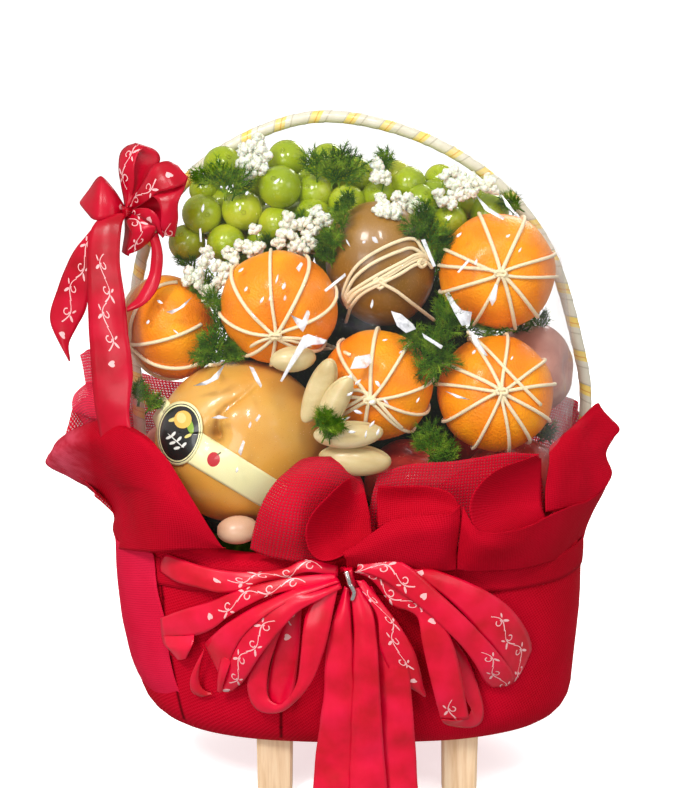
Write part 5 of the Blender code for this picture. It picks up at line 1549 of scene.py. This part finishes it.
HANDLE_BANDS = [                # two edges of each ribbon: frame x, frame y, depth
    # top loop, up and over
    ([(124, 206, -31), (121, 185, -31), (119, 166, -30), (120, 153, -29), (126, 146, -29), (135, 143, -31)],
     [(131, 204, -34), (134, 186, -38), (134, 170, -40), (136, 159, -40), (140, 151, -39), (146, 147, -37)]),
    ([(135, 143, -31), (146, 146, -28), (156, 151, -27), (160, 160, -28), (153, 176, -30), (142, 192, -32),
     (131, 206, -35)], [(138, 146, -35), (133, 154, -35), (130, 166, -36), (129, 180, -36), (128, 192, -36),
     (127, 200, -36), (124, 209, -36)]),
    # fills behind the right loops and beside the main tail
    ([(124, 214, -36), (124, 232, -38), (122, 252, -38)], [(142, 220, -44), (134, 240, -46), (129, 256, -42)]),
    ([(126, 200, -30), (142, 188, -36), (158, 184, -41), (180, 188, -45)], [(128, 216, -31), (146, 222, -37),
     (160, 230, -43), (172, 230, -46)]),
    # upper right loop, up and over
    ([(128, 205, -36), (139, 190, -45), (147, 175, -50), (151, 168, -51), (158, 163, -51), (168, 161, -50),
     (178, 165, -48)], [(132, 210, -38), (146, 202, -51), (157, 193, -57), (167, 190, -59), (177, 187, -58),
     (186, 183, -53), (188, 177, -49)]),
    # its lower half, coming back to the knot
    ([(149, 194, -53), (157, 200, -58), (161, 212, -59), (161, 226, -57), (164, 236, -52)], [(188, 178, -49),
     (184, 190, -54), (178, 203, -57), (178, 220, -55), (175, 237, -50)]),
    ([(128, 210, -38), (142, 208, -50), (152, 210, -56), (160, 220, -56), (164, 236, -51)], [(128, 214, -38),
     (138, 218, -46), (148, 224, -50), (156, 231, -51), (163, 238, -49)]),
    # lower middle loop
    ([(126, 212, -39), (138, 216, -49), (149, 224, -55), (156, 228, -55), (151, 240, -51), (141, 249, -48)],
     [(124, 215, -38), (127, 225, -46), (131, 232, -51), (131, 238, -51), (128, 247, -49), (126, 255, -46)]),
    # left loop
    ([(124, 205, -33), (114, 190, -37), (105, 179, -37), (99, 177, -35), (88, 190, -31), (80, 202, -27)],
     [(125, 213, -35), (114, 217, -45), (100, 220, -48), (92, 219, -45), (86, 212, -38), (81, 205, -29)]),
    ([(80, 202, -27), (92, 203, -20), (108, 205, -22), (124, 208, -30)], [(99, 178, -34), (104, 190, -22),
     (114, 199, -22), (126, 206, -30)]),
    # left tail
    ([(122, 212, -34), (100, 221, -37), (84, 238, -37), (70, 257, -36), (58, 288, -34), (50, 315, -34),
     (56, 337, -36), (69, 361, -38)], [(124, 216, -34), (112, 226, -41), (100, 250, -42), (91, 280, -42),
     (86, 309, -40), (77, 327, -38), (69, 344, -37), (70, 361, -38)]),
    # main tail
    ([(112, 212, -41), (96, 222, -47), (88, 240, -51), (87, 275, -56), (88, 310, -59), (90, 350, -62), (93, 388, -64),
     (98, 424, -64), (105, 452, -62), (112, 468, -58)], [(128, 213, -43), (122, 226, -50), (120, 262, -57),
     (125, 298, -61), (128, 331, -64), (131, 353, -66), (133, 376, -67), (130, 400, -70), (130, 424, -72),
     (140, 462, -78)]),
    # right tail
    ([(158, 232, -49), (162, 248, -52), (163, 262, -55), (160, 282, -58), (153, 296, -62), (141, 307, -66),
     (127, 312, -66)], [(147, 234, -50), (151, 246, -51), (151, 260, -53), (148, 276, -56), (138, 295, -61),
     (131, 303, -64), (127, 307, -64)]),
]
FRONT_PLAIN, HANDLE_PLAIN = (2, 3, 5, 6, 8, 12), (1, 2, 3, 9, 12)    # ribbons that show no print
HANDLE_PHASE = {10: 112.0, 11: 104.0}        # where the vine starts on the two tails, in mm


def band(batch, edges, place, along=56, across=9, bulge=1.2, rip=0.9, seed=0.0, plain=False, phase=None):
    """A ribbon between two edges, put in place by a rule; a plain one shows no print."""
    a, b = (curve([place(*p) for p in edge], along) for edge in edges)
    middle = (a + b) / 2 + np.array((0.0, -bulge, 0.0))
    surface = np.array([curve(line, across) for line in np.stack([a, middle, b], 1)])
    surface = ripple(surface.transpose(1, 0, 2), 16.0, rip, seed)
    start = (seed * 31.0) % PRINT_REPEAT if phase is None else phase
    uvs = skin_uv(surface) + np.array((start, OFF_PRINT if plain else 0.0))
    batch.add(surface, grid_faces(across, along), uvs)


def make_front_bow():
    batch = Batch()
    for k, edges in enumerate(FRONT_BANDS):
        band(batch, edges, on_tub, seed=3.7 * k, plain=k in FRONT_PLAIN)
    for k, edges in enumerate(FRONT_TAILS):
        band(batch, edges, on_tub, along=80, across=11, bulge=1.8, rip=1.6, seed=9.1 + k, plain=True)
    # the knot, a small drawn-in bundle
    for k in range(7):
        a = math.radians(-60 + 30 * k)
        c, s = math.cos(a), math.sin(a)
        upper = [(348 - 10 * s, 574 - 13 * c * 0.4 - 4, 6), (347 - 4 * s, 568, 16), (349 + 2 * s, 584, 15)]
        lower = [(348 + 10 * c, 576 - 9 * s, 6), (352, 572 + 3 * s, 18), (352 + 5 * c, 588, 13)]
        band(batch, (upper, lower), on_tub, 14, 5, 1.5, plain=True)
    bow = batch.piece("front_ribbons", paint_satin(), "satin", ["front_bow"], thick=0.35)
    # flat ribbon round the waist
    batch = Batch()
    columns, rows = 200, 7
    surface = np.zeros((rows, columns + 1, 3))
    for j in range(rows):
        t = j / (rows - 1)
        for i in range(columns + 1):
            a = 2 * math.pi * i / columns
            lift = 1.2 + 0.5 * math.sin(math.pi * t) + 0.2 * math.sin(23 * a)
            surface[j, i] = tub_place(a, 141.0 + 17.5 * t + 1.5 * math.sin(3 * a), lift)
    batch.add(surface, grid_faces(rows, columns + 1), skin_uv(surface))
    paint = paint_cloth("waist_cloth", (168, 0, 20), (196, 4, 34), 0.0, 1.3, 0.3)
    waist = batch.piece("waist_sheer", paint, "satin", ["waist_ribbon"], thick=0.35)
    wire = Batch()
    for path in ([(346, 571, 20), (348, 578, 21), (350, 585, 21)], [(350, 584, 21), (354, 592, 20), (352, 600, 19)]):
        tube(wire, curve([on_tub(*p) for p in path], 12), 1.5, 8)
    wire.piece("wire_twist", paint_silver(), "silver", ["silver_tie"])


def make_handle_bow():
    batch = Batch()
    for k, edges in enumerate(HANDLE_BANDS):
        band(batch, edges, at, bulge=1.6, seed=20 + 2.3 * k, plain=k in HANDLE_PLAIN, phase=HANDLE_PHASE.get(k))
    # the knot
    for k in range(5):
        rise = 2 * math.sin(math.radians(-70 + 35 * k))
        upper = [(122, 206 + 3 * k, -38), (127, 208 + 2 * k, -46), (132, 206 + 3 * k, -40)]
        lower = [(122, 212 + 2 * k, -38), (127, 214 + rise, -48), (133, 213 + k, -40)]
        band(batch, (upper, lower), at, 12, 5, 1.0, plain=True)
    # painted shade: a darker, duller copy of the bow's satin for the handle's ribbons, held down against the key lamp
    # above them
    paint = paint_satin("satin_handle_painted_shade", 0.30, ((168, 0, 24), (190, 0, 36), (204, 2, 46)))
    bow = batch.piece("handle_ribbons", paint, "satin", ["handle_bow"], thick=0.35)


# ---- film --------------------------------------------------------------------------------------
SHARDS = [                      # outlines of painted white glints, in frame places
    [(291, 315), (299, 322), (303, 320), (307, 310), (310, 312), (308, 322), (303, 332), (298, 327)], [(303, 336),
     (308, 334), (327, 340), (324, 344), (312, 345), (304, 349)], [(303, 336), (306, 346), (293, 365), (282, 382),
     (280, 381), (291, 359), (299, 344)], [(355, 357), (370, 354), (372, 362), (366, 368), (350, 369)], [(341, 382),
     (351, 374), (353, 379), (343, 387)], [(391, 311), (401, 314), (413, 324), (416, 329), (406, 333), (397, 326)],
     [(422, 333), (443, 346), (441, 349), (424, 338)], [(445, 294), (449, 292), (456, 304), (464, 311), (472, 312),
     (470, 324), (462, 326), (455, 314)], [(468, 330), (473, 332), (480, 343), (488, 356), (484, 355), (474, 344)],
     [(421, 240), (425, 239), (436, 266), (433, 267)], [(324, 290), (326, 292), (346, 276), (345, 273)], [(193, 386),
     (206, 381), (214, 377), (225, 364), (218, 379), (206, 385)], [(249, 366), (254, 368), (262, 385), (261, 388),
     (255, 380)], [(211, 418), (219, 415), (229, 418), (220, 419)], [(166, 312), (178, 309), (192, 297), (184, 307),
     (172, 314)], [(199, 229), (201, 228), (202, 242), (200, 242)], [(475, 194), (488, 207), (505, 218), (503, 220),
     (485, 210)], [(501, 194), (510, 205), (520, 219), (506, 206)], [(238, 452), (243, 440), (245, 442), (241, 456)],
     [(255, 420), (259, 414), (261, 416), (257, 422)], [(445, 391), (455, 394), (471, 400), (457, 398)], [(489, 299),
     (495, 284), (498, 285), (496, 300), (492, 306)], [(457, 272), (459, 273), (470, 261), (468, 259)], [(296, 268),
     (301, 262), (303, 264), (299, 272)],
]
GLINTS = [                      # frame place, length, width, lean in degrees
    (284, 286, 8, 4, 70), (277, 279, 11, 2, 75), (270, 298, 7, 2, 75), (285, 298, 6, 3, 80), (246, 289, 6, 3, 60),
    (241, 270, 7, 3, 40), (262, 300, 8, 3, 60), (254, 316, 10, 2, -45), (348, 243, 9, 2, -60), (375, 240, 9, 5, -50),
    (364, 242, 4, 3, 30), (372, 304, 10, 3, 80), (277, 181, 8, 3, 40), (203, 208, 9, 3, 80), (247, 193, 5, 3, 60),
    (240, 208, 6, 2, 80), (449, 218, 6, 3, 60), (345, 419, 12, 3, 20), (358, 412, 10, 4, -20), (372, 424, 9, 3, 50),
    (352, 432, 8, 3, 0), (366, 434, 9, 2, 80), (378, 432, 8, 3, 70), (358, 382, 9, 3, 40), (378, 384, 9, 4, -50),
    (350, 394, 8, 3, 30), (386, 402, 9, 3, -50), (372, 402, 7, 4, 10), (459, 235, 7, 3, 40), (520, 250, 6, 2, 60),
    (476, 262, 7, 3, 70), (508, 236, 5, 3, 30), (474, 352, 6, 3, 50), (512, 358, 5, 2, 60), (160, 302, 7, 3, -30),
    (176, 332, 8, 2, -40), (148, 322, 5, 3, 60), (228, 408, 6, 2, 60), (250, 425, 7, 3, 75), (237, 470, 6, 3, 80),
    (418, 400, 7, 2, 60), (401, 352, 5, 2, 40), (385, 340, 6, 2, 10),
]
GLINT_FORM = ((-1, 0.1), (-0.3, 0.9), (0.5, 0.7), (1, -0.2), (0.3, -0.8), (-0.5, -0.9))   # in half lengths and widths


def make_film():
    """One sheet of clear film drawn over the heap, with painted white glints, which glow faintly, where it catches the
    light.
    """
    bm = bmesh.new()
    for v in NODES["film_cover"].data.vertices:
        bm.verts.new(v.co / MM)
    bmesh.ops.convex_hull(bm, input=bm.verts)
    bmesh.ops.delete(bm, geom=[v for v in bm.verts if not v.link_faces], context="VERTS")
    low = min(v.co.z for v in bm.verts)
    bmesh.ops.delete(bm, geom=[f for f in bm.faces if f.calc_center_median().z < low + 0.8], context="FACES")
    for _ in range(4):
        long_edges = [e for e in bm.edges if e.calc_length() > 9.0]
        if not long_edges:
            break
        bmesh.ops.subdivide_edges(bm, edges=long_edges, cuts=1, use_grid_fill=False)
        bmesh.ops.triangulate(bm, faces=[f for f in bm.faces if len(f.verts) > 3])
    bm.normal_update()
    pulls = []
    for v in bm.verts:
        p = v.co / 26.0
        pull = noise.noise(Vector((p.x, p.y, p.z * 1.6))) + 0.5 * noise.noise(v.co / 9.0)
        pulls.append(v.normal * (0.5 * pull - 0.4))
    for v, pull in zip(bm.verts, pulls):
        v.co += pull
    verts = [v.co[:] for v in bm.verts]
    bm.verts.index_update()
    faces = [[v.index for v in f.verts] for f in bm.faces]
    tree = BVHTree.FromBMesh(bm)
    bm.free()
    batch = Batch()
    batch.add(verts, faces)
    film = batch.piece("film_sheet", paint_film(), "film", ["film_cover"])
    # painted white glints, glowing faintly, where it catches the light
    outlines = list(SHARDS)
    for px, py, length, width, lean in GLINTS:
        c, d = math.cos(math.radians(lean)), -math.sin(math.radians(lean))
        outlines.append([(px + (c * a * length - d * b * width) / 2, py + (d * a * length + c * b * width) / 2)
                         for a, b in GLINT_FORM])
    crease = Batch()
    for outline in outlines:
        spots = []
        for px, py in [np.mean(outline, axis=0), *outline]:
            way = Vector(at(px, py, 0.0) - CAMERA).normalized()
            hit = tree.ray_cast(Vector(CAMERA), way)[0]
            if hit is not None:
                spots.append(np.array(hit - way * 0.5))
        n = len(outline)
        if len(spots) == n + 1:
            spots[0][1] -= 0.4
            crease.add(spots, [(0, 1 + (i + 1) % n, 1 + i) for i in range(n)])
    crease.piece("film_creases", paint_film_glints(), "film", thick=0.12)


# ---- all of it -----------------------------------------------------------------------------------
make_camera()
make_studio()
for node in ("foot_1", "foot_2", "foot_3", "foot_4"):
    paint_node(node, "wood")
paint_node("greens_core", "moss")
SHAPES = make_fruits()
make_ties(SHAPES)
make_grapes()
TREE = heap_tree()
make_loose_ends(TREE)
make_pods()
make_greens(TREE)
make_flowers(TREE)
make_label()
make_handle()
make_tub()
make_collar()
make_front_bow()
make_handle_bow()
make_film()
